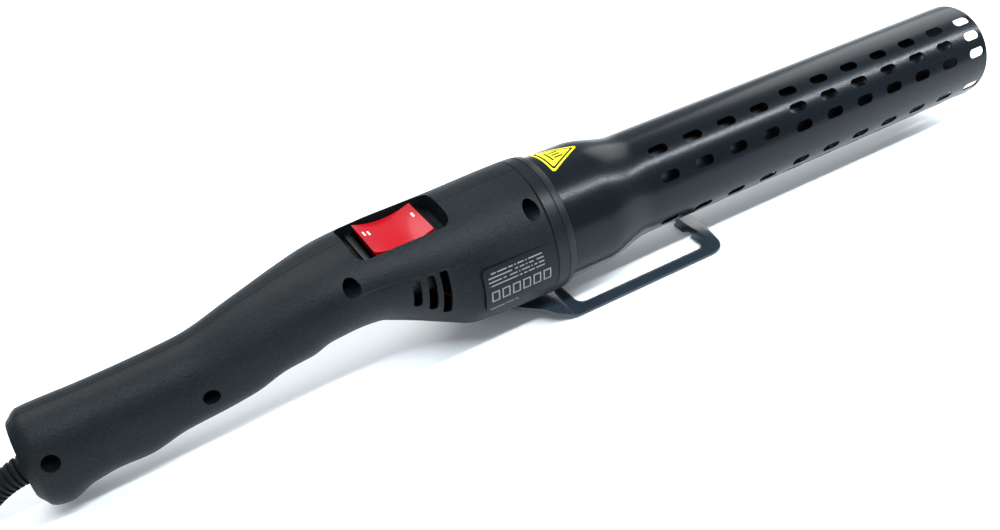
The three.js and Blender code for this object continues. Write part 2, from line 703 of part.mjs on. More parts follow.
function impeller() {
  const rear = IMPELLER_FRONT - IMPELLER_DEPTH;
  const tip = HOUSING_BORE - FAN_CLEARANCE;
  const hub = turned([
    [rear, SHAFT_RADIUS + GAP], [rear, HUB_RADIUS], [IMPELLER_FRONT - 2, HUB_RADIUS],
    [IMPELLER_FRONT, HUB_RADIUS - 3], [IMPELLER_FRONT, SHAFT_RADIUS + GAP],
  ], 20);
  const blades = [];
  for (let i = 0; i < IMPELLER_BLADES; i += 1) {
    const half = BLADE_THICKNESS / 2;
    const blade = box(-IMPELLER_DEPTH * 0.6, IMPELLER_DEPTH * 0.6, -half, half, HUB_RADIUS - 1, tip + 1);
    const pitched = blade.rotate([0, 0, 38]).translate([rear + IMPELLER_DEPTH / 2, 0, 0]);
    blades.push(roundAxis(pitched, i * 360 / IMPELLER_BLADES));
  }
  const swept = sleeve(rear, IMPELLER_FRONT - 0.2, HUB_RADIUS - 1.5, tip, 40);
  return join(hub, ...blades.map((blade) => blade.intersect(swept)));
}

function motorShaft() {
  return rod('x', MOTOR_REAR + 1.5, IMPELLER_FRONT + 2, SHAFT_RADIUS, [0, 0], 12);
}

function motorCan() {
  const bore = BUSH_RADIUS + GAP;
  return turned([
    [MOTOR_REAR + 2, bore], [MOTOR_REAR + 2, MOTOR_RADIUS - 1], [MOTOR_REAR + 3, MOTOR_RADIUS],
    [MOTOR_FRONT - 1, MOTOR_RADIUS], [MOTOR_FRONT, MOTOR_RADIUS - 1], [MOTOR_FRONT, bore],
  ], 24);
}

function motorEndCap() {
  return rod('x', MOTOR_REAR, MOTOR_REAR + 2 - GAP, MOTOR_RADIUS - 1.5, [0, 0], 20)
    .subtract(rod('x', MOTOR_REAR + 0.8, MOTOR_REAR + 3, SHAFT_RADIUS + 2 * GAP, [0, 0], 12));
}

function bush(x0) {
  return sleeve(x0, x0 + BUSH_LENGTH, SHAFT_RADIUS + GAP, BUSH_RADIUS, 16);
}

// A hub plate that carries the motor on three arms reaching the handle's wall.
function motorMount() {
  const front = MOUNT_REAR + MOUNT_THICKNESS;
  const plate = rod('x', MOUNT_REAR, front, MOTOR_RADIUS + 1, [0, 0], 24);
  const armHalf = 4;
  const arms = [90, 210, 330].map((degrees) => (
    roundAxis(box(MOUNT_REAR, front, -armHalf, armHalf, MOTOR_RADIUS - 2, HOUSING_BORE + 5), degrees)
  ));
  const room = rod('x', MOUNT_REAR - 1, front + 1, HOUSING_BORE - 0.8 - GAP, [0, 0], 40);
  const spider = join(plate, ...arms).intersect(room);
  return cut(spider, rod('x', MOUNT_REAR - 1, front + 1, SHAFT_RADIUS + 2 * GAP, [0, 0], 12));
}

// ---------------------------------------------------------------------------------------------------------
// Switch
// ---------------------------------------------------------------------------------------------------------

function switchBody() {
  const half = SWITCH_LENGTH / 2;
  const side = SWITCH_WIDTH / 2;
  const top = PANEL;
  const wellFloor = PIVOT - 5;
  const body = box(SWITCH_CENTRE - half, SWITCH_CENTRE + half, -side, side, top - SWITCH_DEPTH, top);
  const wellHalf = half - SWITCH_WALL;
  const wellSide = side - SWITCH_WALL;
  const well = box(SWITCH_CENTRE - wellHalf, SWITCH_CENTRE + wellHalf, -wellSide, wellSide, wellFloor, top + 1);
  return cut(body, well, rod('y', -side - 1, side + 1, PIVOT_RADIUS + GAP, [SWITCH_CENTRE, PIVOT], 12));
}

function switchBezel() {
  const half = BEZEL_LENGTH / 2;
  const side = BEZEL_WIDTH / 2;
  const base = PANEL + GAP;
  const plan = roundedRectangle(SWITCH_CENTRE - half, SWITCH_CENTRE + half, -side, side, 1.5);
  const opening = SWITCH_LENGTH / 2 + 0.6;
  const openingSide = ROCKER_WIDTH / 2 + GAP;
  const frame = upZ(plan, base, base + BEZEL_HEIGHT, 2);
  return cut(frame, box(SWITCH_CENTRE - opening, SWITCH_CENTRE + opening, -openingSide, openingSide,
    base - 1, base + BEZEL_HEIGHT + 1));
}

function rocker() {
  const half = ROCKER_LENGTH / 2;
  const side = ROCKER_WIDTH / 2;
  const rim = BEZEL_TOP + ROCKER_RISE;
  const shape = new THREE.Shape();
  shape.moveTo(SWITCH_CENTRE - half, rim);
  shape.lineTo(SWITCH_CENTRE - half + 1, BEZEL_TOP + 0.3);
  shape.lineTo(SWITCH_CENTRE - half + 2.6, PIVOT);
  shape.lineTo(SWITCH_CENTRE - 4, PIVOT - 3);
  shape.lineTo(SWITCH_CENTRE + 4, PIVOT - 3);
  shape.lineTo(SWITCH_CENTRE + half - 2.6, PIVOT);
  shape.lineTo(SWITCH_CENTRE + half - 1, BEZEL_TOP + 0.3);
  shape.lineTo(SWITCH_CENTRE + half, rim);
  shape.quadraticCurveTo(SWITCH_CENTRE, rim - 2 * ROCKER_DISH, SWITCH_CENTRE - half, rim);
  const body = acrossY(shape, -side, side, 8);
  return cut(body, rod('y', -side - 1, side + 1, PIVOT_RADIUS + GAP, [SWITCH_CENTRE, PIVOT], 12));
}

function rockerPin() {
  const side = SWITCH_WIDTH / 2 - GAP;
  return rod('y', -side, side, PIVOT_RADIUS, [SWITCH_CENTRE, PIVOT], 12);
}

function switchTerminal(x, y) {
  const top = PANEL - SWITCH_DEPTH - GAP;
  const blade = box(x - 3.1, x + 3.1, y - 0.4, y + 0.4, top - TERMINAL_LENGTH, top);
  return cut(blade, rod('y', y - 1, y + 1, 0.9, [x, top - TERMINAL_LENGTH + 3], 8));
}

// ---------------------------------------------------------------------------------------------------------
// Stand
// ---------------------------------------------------------------------------------------------------------

function standSide() {
  const tabTop = FLAT - GAP;
  const loopTop = FLOOR + SHEET;
  return outline([
    [TAB_REAR, tabTop - SHEET], [TAB_REAR, tabTop], [BEND_START, tabTop], [BEND_END, loopTop],
    [LOOP_FRONT + 10, loopTop], [LOOP_FRONT + 10, FLOOR], [BEND_END - 0.4, FLOOR], [BEND_START - 0.4, tabTop - SHEET],
  ]);
}

function standPlan() {
  const corner = 9;
  const bow = 3.5;
  const flareEnd = LOOP_HALF - 2.5;
  const shape = new THREE.Shape();
  shape.moveTo(TAB_REAR + 3, -TAB_HALF);
  shape.lineTo(FLARE_START, -TAB_HALF);
  shape.lineTo(BEND_START + 2.5, -flareEnd);
  shape.quadraticCurveTo(BEND_START + 6, -LOOP_HALF, BEND_END + 2, -LOOP_HALF);
  shape.lineTo(LOOP_FRONT - bow - corner, -LOOP_HALF);
  shape.quadraticCurveTo(LOOP_FRONT - bow, -LOOP_HALF, LOOP_FRONT - bow + 1, -LOOP_HALF + corner);
  shape.quadraticCurveTo(LOOP_FRONT, 0, LOOP_FRONT - bow + 1, LOOP_HALF - corner);
  shape.quadraticCurveTo(LOOP_FRONT - bow, LOOP_HALF, LOOP_FRONT - bow - corner, LOOP_HALF);
  shape.lineTo(BEND_END + 2, LOOP_HALF);
  shape.quadraticCurveTo(BEND_START + 6, LOOP_HALF, BEND_START + 2.5, flareEnd);
  shape.lineTo(FLARE_START, TAB_HALF);
  shape.lineTo(TAB_REAR + 3, TAB_HALF);
  shape.quadraticCurveTo(TAB_REAR, TAB_HALF, TAB_REAR, TAB_HALF - 3);
  shape.lineTo(TAB_REAR, 3 - TAB_HALF);
  shape.quadraticCurveTo(TAB_REAR, -TAB_HALF, TAB_REAR + 3, -TAB_HALF);
  const inner = LOOP_HALF - LOOP_BAR;
  const front = LOOP_FRONT - FRONT_BAR;
  shape.holes.push(roundedRectangle(BEND_END + REAR_BAR, front, -inner, inner, 4));
  return shape;
}

function stand() {
  const sheet = acrossY(standSide(), -LOOP_HALF - 5, LOOP_HALF + 5);
  const plan = upZ(standPlan(), FLOOR - 5, FLAT + 5, 3);
  const edge = LOOP_FRONT - FRONT_BAR;
  const notches = [-1, 1].map((side) => (
    rod('z', FLOOR - 5, FLOOR + 5, NOTCH_RADIUS, [edge, side * NOTCH_OFFSET], 10)
  ));
  const holes = [-1, 1].map((side) => (
    rod('z', FLAT - 10, FLAT + 5, M3_SHANK + GAP, [STAND_SCREW_AT, side * STAND_SCREW_OFFSET], 10)
  ));
  return cut(sheet.intersect(plan), ...notches, ...holes);
}

function standScrew(side) {
  const at = [STAND_SCREW_AT, side * STAND_SCREW_OFFSET];
  const seat = FLAT - SHEET - 2 * GAP;
  const head = rod('z', seat - M3_HEAD_HEIGHT, seat, M3_HEAD, at);
  return join(head, rod('z', seat - 1, FLAT + 6, M3_SHANK, at, 8));
}

// ---------------------------------------------------------------------------------------------------------
// Labels
// ---------------------------------------------------------------------------------------------------------

function warningSticker() {
  const height = STICKER_SIDE * Math.sqrt(3) / 2;
  const half = STICKER_SIDE / 2;
  const shape = outline([[STICKER_BASE, -half], [STICKER_BASE + height, 0], [STICKER_BASE, half]]);
  const prism = roundAxis(upZ(shape, 0, NECK_RADIUS + 5), STICKER_ANGLE);
  const film = sleeve(STICKER_BASE - 1, NECK_LENGTH + 8, NECK_RADIUS + GAP, NECK_RADIUS + GAP + FILM, 40);
  return film.intersect(prism);
}

function ratingPlate() {
  const x1 = -PLATE_MARGIN;
  const span = PLATE_TOP_ANGLE - PLATE_BOTTOM_ANGLE;
  const start = radians(PLATE_BOTTOM_ANGLE);
  const points = [];
  const inner = HOUSING_RADIUS + GAP;
  const steps = 8;
  for (let i = 0; i <= steps; i += 1) {
    const angle = start + radians(span) * i / steps;
    points.push([-(inner + FILM) * Math.cos(angle), (inner + FILM) * Math.sin(angle)]);
  }
  for (let i = steps; i >= 0; i -= 1) {
    const angle = start + radians(span) * i / steps;
    points.push([-inner * Math.cos(angle), inner * Math.sin(angle)]);
  }
  return alongX(outline(points), x1 - PLATE_LENGTH, x1);
}

// ---------------------------------------------------------------------------------------------------------
// Wiring inside the handle
// ---------------------------------------------------------------------------------------------------------

const CLAMP_AT = TAIL + 24;

function cordInside() {
  return rod('x', TAIL + 8 + GAP, CLAMP_AT + 12, CORD_RADIUS, [0, -CORD_DROP], 12);
}

function cordClamp() {
  const low = -CORD_DROP + CORD_RADIUS + GAP;
  return box(CLAMP_AT - 4, CLAMP_AT + 4, -9, 9, low, low + 3)
    .subtract(rod('z', low - 1, low + 4, M3_SHANK + GAP, [CLAMP_AT, 6.5], 8))
    .subtract(rod('z', low - 1, low + 4, M3_SHANK + GAP, [CLAMP_AT, -6.5], 8));
}

function clampScrew(y) {
  const low = -CORD_DROP + CORD_RADIUS + GAP;
  const seat = low + 3 + GAP;
  const head = rod('z', seat, seat + M3_HEAD_HEIGHT, M3_HEAD, [CLAMP_AT, y], 10);
  return join(head, rod('z', low - 6, seat + 1, M3_SHANK, [CLAMP_AT, y], 8));
}

function rectifierBoard() {
  return box(-118, -96, -7, 7, 6, 7.4);
}

function rectifier() {
  return box(-112, -104, -4, 4, 7.4 + GAP, 12);
}

// The lead from the cord, under the lower screw boss and up behind the switch.
function supplyLead(side) {
  const blade = PANEL - SWITCH_DEPTH - TERMINAL_LENGTH;
  return wire(through([
    [CLAMP_AT + 12 + GAP, side * 1.6, -CORD_DROP], [CLAMP_AT + 24, side * 3, -CORD_DROP + 1.5],
    [TAIL + 79, side * 3, -CORD_DROP + 2], [TAIL + 92, side * 3, blade - 1], [-100, side * 4, blade + 5.5],
    [-85, side * 6, blade + 6.5], [SWITCH_CENTRE - TERMINAL_AT - 3.7, side * 7, blade + 4.5],
  ]), 1.1, 6, 16);
}

// The lead from the switch, round the fan against the housing's wall and through the bulkhead.
function heaterLead(side) {
  const blade = PANEL - SWITCH_DEPTH - TERMINAL_LENGTH;
  const reach = (HOUSING_BORE - 2.7) * Math.SQRT1_2;
  const wall = 0.97 * reach;
  const behindFan = IMPELLER_FRONT - IMPELLER_DEPTH - 5;
  return wire(through([
    [SWITCH_CENTRE + TERMINAL_AT + 3.6, side * 7, blade], [-40, side * 11, -12], [-33, side * wall, -wall],
    [behindFan, side * reach, -reach], [IMPELLER_FRONT + 1.5, side * reach, -reach],
    [-6.5, side * 16.5, -16.5], [-3.5, side * 12, -12], [6, side * 8, -8], [BASE_DISC_START - 1, side * 6, -6],
  ]), 0.8, 6, 26);
}

// ---------------------------------------------------------------------------------------------------------
// Mains lead
// ---------------------------------------------------------------------------------------------------------

// A point on the lead's way down from the handle, as a bend angle from level in degrees.
function exitBend(degrees) {
  const x = TAIL - RELIEF_BEND * (Math.sin(radians(degrees)) - Math.sin(radians(CORD_TILT)));
  const z = -CORD_DROP - RELIEF_BEND * (Math.cos(radians(CORD_TILT)) - Math.cos(radians(degrees)));
  return [x, 0, z];
}

// Round rings of changing radius along points in the xz plane.
function tapered(stops, sides) {
  const steps = stops.length - 1;
  const geometry = new THREE.CylinderGeometry(1, 1, steps, sides, steps);
  const position = geometry.attributes.position;
  for (let i = 0; i < position.count; i += 1) {
    const { at, lean, radius } = stops[Math.round(position.getY(i) + steps / 2)];
    const side = position.getX(i) * radius;
    const rise = position.getZ(i) * radius;
    const tilt = radians(lean);
    position.setXYZ(i, at[0] - rise * Math.sin(tilt), side, at[2] + rise * Math.cos(tilt));
  }
  return solid(geometry);
}

function strainRelief() {
  const root = exitBend(CORD_TILT);
  const flange = root[0] + HANDLE_WALL + 1;
  const stops = [
    { at: [flange + 4.5, 0, -CORD_DROP], lean: 0, radius: FLANGE_RADIUS - 2 },
    { at: [flange, 0, -CORD_DROP], lean: 0, radius: RELIEF_RADIUS },
    { at: root, lean: 0, radius: RELIEF_RADIUS },
  ];
  const rings = 6;
  for (let i = 1; i <= rings; i += 1) {
    const angle = CORD_TILT + (RELIEF_ANGLE - CORD_TILT) * i / rings;
    const radius = RELIEF_RADIUS + (CORD_RADIUS + RELIEF_TIP_WALL - RELIEF_RADIUS) * i / rings;
    stops.push({ at: exitBend(angle), lean: angle, radius });
  }
  return tapered(stops, 14);
}

const CORD_LIE = FLOOR + CORD_RADIUS;
const COIL_CENTRE = [TAIL - COIL_BACK, COIL_LEFT];

// The free lead: from the strain relief down to the surface and on to the coil's outer turn.
function cordTube() {
  const tip = exitBend(RELIEF_ANGLE);
  const along = (reach) => [
    tip[0] - reach * Math.cos(radians(RELIEF_ANGLE)), 0, tip[2] - reach * Math.sin(radians(RELIEF_ANGLE)),
  ];
  return wire(through([
    along(CORD_END_GAP), along(CORD_END_GAP + 1), [TAIL - 24, -0.4, CORD_LIE + 6.7],
    [TAIL - 32, -2.4, CORD_LIE + 2.4], [TAIL - 40.2, -5.6, CORD_LIE + 0.2],
    [TAIL - 41.1, -5.96, CORD_LIE + 0.1],
  ]), CORD_RADIUS, 10, 10);
}

// The rest of the lead, coiled flat in a few layers.
function cordCoil() {
  const round = CORD_RADIUS;
  const ring = turned([
    [0, COIL_INNER + round], [round, COIL_INNER], [COIL_HEIGHT - round, COIL_INNER],
    [COIL_HEIGHT, COIL_INNER + round], [COIL_HEIGHT, COIL_OUTER - round], [COIL_HEIGHT - round, COIL_OUTER],
    [round, COIL_OUTER], [0, COIL_OUTER - round],
  ], 32);
  return ring.rotate([0, -90, 0]).translate([...COIL_CENTRE, FLOOR]);
}

const PLUG_AT = [COIL_CENTRE[0] - COIL_OUTER - GAP - PLUG_RADIUS, PLUG_TAIL, FLOOR + PLUG_RADIUS];

function plugPin(side) {
  const root = PLUG_TAIL + PLUG_LENGTH - PIN_ROOT;
  const at = [PLUG_AT[0] + side * PIN_SPACING / 2, PLUG_AT[2]];
  return rod('y', root, root + PIN_ROOT + PIN_LENGTH, PIN_RADIUS, at, 12);
}

function plugBody() {
  const profile = [
    [0, 0], [0, CORD_RADIUS + 2], [9, CORD_RADIUS + 4], [15, PLUG_RADIUS - 4], [19, PLUG_RADIUS],
    [PLUG_LENGTH - 1, PLUG_RADIUS], [PLUG_LENGTH, PLUG_RADIUS - 1], [PLUG_LENGTH, 0],
  ];
  const body = turned(profile, 28).rotate([0, 0, 90]).translate(PLUG_AT);
  const root = PLUG_TAIL + PLUG_LENGTH - PIN_ROOT - GAP;
  const bores = [-1, 1].map((side) => (
    rod('y', root, root + PIN_ROOT + 2, PIN_RADIUS + GAP, [PLUG_AT[0] + side * PIN_SPACING / 2, PLUG_AT[2]], 12)
  ));
  return cut(body, ...bores);
}

const group = new THREE.Group();
group.position.set(-(TUBE_MOUTH + TAIL) / 2, 0, -FLOOR);

const FINISHES = {
  handlePlastic: { color: 0x2b2d31, roughness: 0.62, metalness: 0 },
  blackSteel: { color: 0x17191c, roughness: 0.38, metalness: 0.35 },
  brightSteel: { color: 0xb9bcc0, roughness: 0.3, metalness: 1 },
  standSteel: { color: 0x3a3d42, roughness: 0.42, metalness: 0.5 },
  mica: { color: 0xb9a888, roughness: 0.7, metalness: 0 },
  ceramic: { color: 0xe6e0d4, roughness: 0.8, metalness: 0 },
  nichrome: { color: 0x8a8f95, roughness: 0.35, metalness: 1 },
  redPlastic: { color: 0xd4152b, roughness: 0.2, metalness: 0 },
  blackPlastic: { color: 0x141517, roughness: 0.4, metalness: 0 },
  brass: { color: 0xc9a24a, roughness: 0.35, metalness: 1 },
  yellowFilm: { color: 0xf2e33c, roughness: 0.4, metalness: 0 },
  darkFilm: { color: 0x1b1c1f, roughness: 0.3, metalness: 0 },
  leadBlue: { color: 0x2e5fa8, roughness: 0.5, metalness: 0 },
  leadBrown: { color: 0x6b3f22, roughness: 0.5, metalness: 0 },
  cordRubber: { color: 0x1a1b1d, roughness: 0.6, metalness: 0 },
  board: { color: 0x3b6b3c, roughness: 0.6, metalness: 0 },
};

function place(name, body, finish) {
  const mesh = new THREE.Mesh(geometryOf(body), new THREE.MeshStandardMaterial(FINISHES[finish]));
  mesh.name = name;
  group.add(mesh);
}

const shell = handleShell();
place('housing_right', housingRight(shell), 'handlePlastic');
place('housing_left', housingLeft(shell), 'handlePlastic');
HOUSING_SCREWS.forEach((spot, i) => place(`housing_screw_${i + 1}`, housingScrew(spot), 'brightSteel'));
place('front_ring', frontRing(), 'handlePlastic');
place('bulkhead', bulkhead(), 'blackPlastic');
place('flange_gasket', flangeGasket(), 'mica');
place('barrel_tube', barrelTube(), 'blackSteel');
place('inner_tube', innerTube(), 'brightSteel');
FLANGE_SCREW_ANGLES.forEach((degrees, i) => {
  place(`flange_screw_${i + 1}`, flangeScrew(degrees), 'brightSteel');
  place(`flange_nut_${i + 1}`, flangeNut(degrees), 'brightSteel');
});
place('mica_liner', micaLiner(), 'mica');
place('mica_board_upright', micaBoard(true), 'mica');
place('mica_board_level', micaBoard(false), 'mica');
place('heating_coil', heatingCoil(), 'nichrome');
place('element_base', elementBase(), 'ceramic');
place('thermal_cutout', thermalCutout(), 'blackPlastic');
place('thermal_fuse', thermalFuse(), 'brightSteel');
place('impeller', impeller(), 'blackPlastic');
place('motor_shaft', motorShaft(), 'brightSteel');
place('motor_can', motorCan(), 'brightSteel');
place('motor_end_cap', motorEndCap(), 'blackPlastic');
place('motor_bush_front', bush(MOTOR_FRONT - BUSH_LENGTH - 0.5), 'brass');
place('motor_bush_rear', bush(MOTOR_REAR + 2.5), 'brass');
place('motor_mount', motorMount(), 'blackPlastic');
place('switch_body', switchBody(), 'blackPlastic');
place('switch_bezel', switchBezel(), 'blackPlastic');
place('rocker', rocker(), 'redPlastic');
place('rocker_pin', rockerPin(), 'brightSteel');
[-1, 1].forEach((end) => [-1, 1].forEach((side) => {
  const name = `switch_terminal_${end < 0 ? 'rear' : 'front'}_${side < 0 ? 'right' : 'left'}`;
  place(name, switchTerminal(SWITCH_CENTRE + end * TERMINAL_AT, side * 7), 'brass');
}));
place('stand', stand(), 'standSteel');
place('stand_screw_right', standScrew(-1), 'brightSteel');
place('stand_screw_left', standScrew(1), 'brightSteel');
place('warning_sticker', warningSticker(), 'yellowFilm');
place('rating_plate', ratingPlate(), 'darkFilm');
place('rectifier_board', rectifierBoard(), 'board');
place('rectifier', rectifier(), 'blackPlastic');
place('supply_lead_right', supplyLead(-1), 'leadBrown');
place('supply_lead_left', supplyLead(1), 'leadBlue');
place('heater_lead_right', heaterLead(-1), 'leadBrown');
place('heater_lead_left', heaterLead(1), 'leadBlue');
place('cord_inside', cordInside(), 'cordRubber');
place('cord_clamp', cordClamp(), 'blackPlastic');
place('clamp_screw_right', clampScrew(-6.5), 'brightSteel');
place('clamp_screw_left', clampScrew(6.5), 'brightSteel');
place('strain_relief', strainRelief(), 'cordRubber');
place('cord', cordTube(), 'cordRubber');
place('cord_coil', cordCoil(), 'cordRubber');
place('plug_body', plugBody(), 'cordRubber');
place('plug_pin_front', plugPin(1), 'brightSteel');
place('plug_pin_rear', plugPin(-1), 'brightSteel');

export default group;
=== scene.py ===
"""Electric hot-air charcoal lighter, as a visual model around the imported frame.

Sizes are in millimetres about the barrel axis (x forward from the joint between handle and ring, y left,
z up) and each finished mesh is moved once into the frame, which is in metres with z = 0 on the surface.
"""
from __future__ import annotations

import json
import logging
import math
from dataclasses import dataclass
from enum import Enum
from typing import Iterable, Sequence

import bmesh
import bpy
from mathutils import Matrix, Vector

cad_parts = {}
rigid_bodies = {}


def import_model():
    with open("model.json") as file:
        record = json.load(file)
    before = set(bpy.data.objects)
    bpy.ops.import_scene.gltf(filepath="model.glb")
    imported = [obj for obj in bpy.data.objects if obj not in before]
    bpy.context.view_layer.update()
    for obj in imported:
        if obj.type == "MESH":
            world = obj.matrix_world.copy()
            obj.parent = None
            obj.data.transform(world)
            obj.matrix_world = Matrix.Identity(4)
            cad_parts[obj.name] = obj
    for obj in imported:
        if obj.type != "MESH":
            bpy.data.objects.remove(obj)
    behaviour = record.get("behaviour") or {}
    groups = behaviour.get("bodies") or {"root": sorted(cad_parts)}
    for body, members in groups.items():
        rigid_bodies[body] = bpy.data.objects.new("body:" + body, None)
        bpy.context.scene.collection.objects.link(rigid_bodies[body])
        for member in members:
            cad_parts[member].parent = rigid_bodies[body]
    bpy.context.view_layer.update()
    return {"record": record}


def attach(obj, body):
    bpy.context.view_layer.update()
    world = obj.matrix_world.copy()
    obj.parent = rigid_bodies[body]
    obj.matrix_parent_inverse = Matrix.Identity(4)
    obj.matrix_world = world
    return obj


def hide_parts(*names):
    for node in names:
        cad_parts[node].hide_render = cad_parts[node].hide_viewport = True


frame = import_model()

log = logging.getLogger("charcoal_lighter")

MM = 0.001
TOOL = "tool"
ROCKER = "rocker"

TUBE_RADIUS = 24.0
TUBE_MOUTH = 268.0
NECK_RADIUS = 28.7
HOUSING_RADIUS = 30.9
HANDLE_LENGTH = 217.5
TAIL = -HANDLE_LENGTH
FLOOR = -38.5
SWITCH_CENTRE = -58.5
BEZEL_TOP = 22.8
PIVOT = 16.3
PANEL = 20.5

TO_FRAME = Matrix.Translation((-(TUBE_MOUTH + TAIL) / 2 * MM, 0, -FLOOR * MM)) @ Matrix.Scale(MM, 4)

Point2 = tuple[float, float]
Point3 = tuple[float, float, float]


# ----------------------------------------------------------------------------------------------------------
# Curves
# ----------------------------------------------------------------------------------------------------------


class Track:
    """A smooth value along x through a few given values, without overshoot."""

    def __init__(self, points: Sequence[Point2]) -> None:
        """Keep the points, which run from the front backwards, and their slopes.

        Args:
            points: (x, value) pairs with falling x.
        """
        self.points = list(points)
        steps = [(b[1] - a[1]) / (b[0] - a[0]) for a, b in zip(points, points[1:])]
        inner = [0 if p * q <= 0 else 2 * p * q / (p + q) for p, q in zip(steps, steps[1:])]
        self.slopes = [0, *inner, 0]

    def __call__(self, x: float) -> float:
        """Return the value at x."""
        last = len(self.points) - 2
        i = next((k for k in range(last) if x >= self.points[k + 1][0]), last)
        (x0, v0), (x1, v1) = self.points[i], self.points[i + 1]
        span = x1 - x0
        t = min(1.0, max(0.0, (x - x0) / span))
        return (
            (2 * t**3 - 3 * t**2 + 1) * v0
            + (t**3 - 2 * t**2 + t) * span * self.slopes[i]
            + (3 * t**2 - 2 * t**3) * v1
            + (t**3 - t**2) * span * self.slopes[i + 1]
        )


def ease(t: float) -> float:
    """Return a smooth step from 0 to 1."""
    t = min(1.0, max(0.0, t))
    return t * t * (3 - 2 * t)


def bump_between(x: float, rise: Point2, fall: Point2) -> float:
    """Return 1 between two ramps and 0 outside them, for x that grows from rise to fall."""
    up = ease((x - rise[0]) / (rise[1] - rise[0]))
    down = 1 - ease((x - fall[0]) / (fall[1] - fall[0]))
    return up * down


def arc(centre: Point2, radius: float, start: float, end: float, steps: int) -> list[Point2]:
    """Return points on an arc, angles in degrees."""
    angles = [math.radians(start + (end - start) * i / steps) for i in range(steps + 1)]
    return [(centre[0] + radius * math.cos(a), centre[1] + radius * math.sin(a)) for a in angles]


def quadratic(a: Point2, b: Point2, c: Point2, steps: int) -> list[Point2]:
    """Return points on the quadratic curve from a to c that is pulled towards b."""
    out = []
    for i in range(steps + 1):
        t = i / steps
        u = 1 - t
        out.append(tuple(u * u * a[k] + 2 * u * t * b[k] + t * t * c[k] for k in (0, 1)))
    return out


def rounded_rectangle(x0: float, x1: float, y0: float, y1: float, corner: float,
                      steps: int = 6) -> list[Point2]:
    """Return the outline of a rectangle with round corners."""
    return [
        *arc((x1 - corner, y0 + corner), corner, -90, 0, steps),
        *arc((x1 - corner, y1 - corner), corner, 0, 90, steps),
        *arc((x0 + corner, y1 - corner), corner, 90, 180, steps),
        *arc((x0 + corner, y0 + corner), corner, 180, 270, steps),
    ]


# ----------------------------------------------------------------------------------------------------------
# Meshes
# ----------------------------------------------------------------------------------------------------------


class Plane(Enum):
    """The plane that an outline is drawn in, named by its two axes; it is pushed along the third."""

    XY = ((1, 0, 0), (0, 1, 0), (0, 0, 1))
    XZ = ((1, 0, 0), (0, 0, 1), (0, 1, 0))
    YZ = ((0, 1, 0), (0, 0, 1), (1, 0, 0))


def prism(outline: Sequence[Point2], plane: Plane, low: float, high: float) -> bmesh.types.BMesh:
    """Push an outline through a distance.

    Args:
        outline: points in the plane.
        plane: the plane of the outline.
        low: where the prism starts along the plane's normal.
        high: where it ends.

    Returns:
        The closed prism.
    """
    first, second, normal = (Vector(axis) for axis in plane.value)
    bm = bmesh.new()
    ring = [bm.verts.new(first * a + second * b + normal * low) for a, b in outline]
    face = bm.faces.new(ring)
    made = bmesh.ops.extrude_face_region(bm, geom=[face], use_keep_orig=True)
    moved = [g for g in made["geom"] if isinstance(g, bmesh.types.BMVert)]
    bmesh.ops.translate(bm, verts=moved, vec=normal * (high - low))
    bmesh.ops.recalc_face_normals(bm, faces=bm.faces)
    return bm


def lathe(profile: Sequence[Point2], segments: int, axis: Point3 = (1, 0, 0), centre: Point3 = (0, 0, 0),
          closed: bool = True) -> bmesh.types.BMesh:
    """Turn a profile of (distance along the axis, radius) points about an axis.

    Args:
        profile: the points.
        segments: facets round the axis.
        axis: the axis of the turn, one of the three main axes.
        centre: a point on the axis, where distances start.
        closed: whether the last point joins the first.

    Returns:
        The turned body.
    """
    along = Vector(axis)
    out = Vector((0, 0, 1)) if abs(along.z) < 0.5 else Vector((1, 0, 0))
    origin = Vector(centre)
    bm = bmesh.new()
    ring = [bm.verts.new(origin + along * a + out * r) for a, r in profile]
    pairs = list(zip(ring, ring[1:])) + ([(ring[-1], ring[0])] if closed else [])
    edges = [bm.edges.new(pair) for pair in pairs]
    bmesh.ops.spin(bm, geom=ring + edges, cent=origin, axis=along, angle=2 * math.pi, steps=segments,
                   use_merge=True, use_normal_flip=False)
    bmesh.ops.remove_doubles(bm, verts=bm.verts, dist=1e-4)
    bmesh.ops.dissolve_degenerate(bm, dist=1e-5, edges=bm.edges)
    bmesh.ops.recalc_face_normals(bm, faces=bm.faces)
    return bm


def rod(radius: float, low: float, high: float, axis: Point3, centre: Point3,
        segments: int = 24) -> bmesh.types.BMesh:
    """Return a plain round rod along a main axis."""
    return lathe([(low, 0), (low, radius), (high, radius), (high, 0)], segments, axis, centre, closed=False)


def block(x0: float, x1: float, y0: float, y1: float, z0: float, z1: float) -> bmesh.types.BMesh:
    """Return a box between six limits."""
    return prism([(x0, y0), (x1, y0), (x1, y1), (x0, y1)], Plane.XY, z0, z1)


def loft(rings: Sequence[Sequence[Vector]]) -> bmesh.types.BMesh:
    """Skin a row of rings that all have the same number of points, and cap both ends."""
    bm = bmesh.new()
    sides = len(rings[0])
    made = bmesh.ops.create_circle(bm, cap_ends=False, radius=1, segments=sides)
    ring = list(made["verts"])
    edges = list(bm.edges)
    for vert, place in zip(ring, rings[0]):
        vert.co = place
    first = list(ring)
    for row in rings[1:]:
        out = bmesh.ops.extrude_edge_only(bm, edges=edges)["geom"]
        fresh = {g for g in out if isinstance(g, bmesh.types.BMVert)}
        edges = [g for g in out if isinstance(g, bmesh.types.BMEdge)
                 and g.verts[0] in fresh and g.verts[1] in fresh]
        ring = [next(e.other_vert(v) for e in v.link_edges if e.other_vert(v) in fresh) for v in ring]
        for vert, place in zip(ring, row):
            vert.co = place
    bm.faces.new(first)
    bm.faces.new(ring)
    bmesh.ops.recalc_face_normals(bm, faces=bm.faces)
    return bm


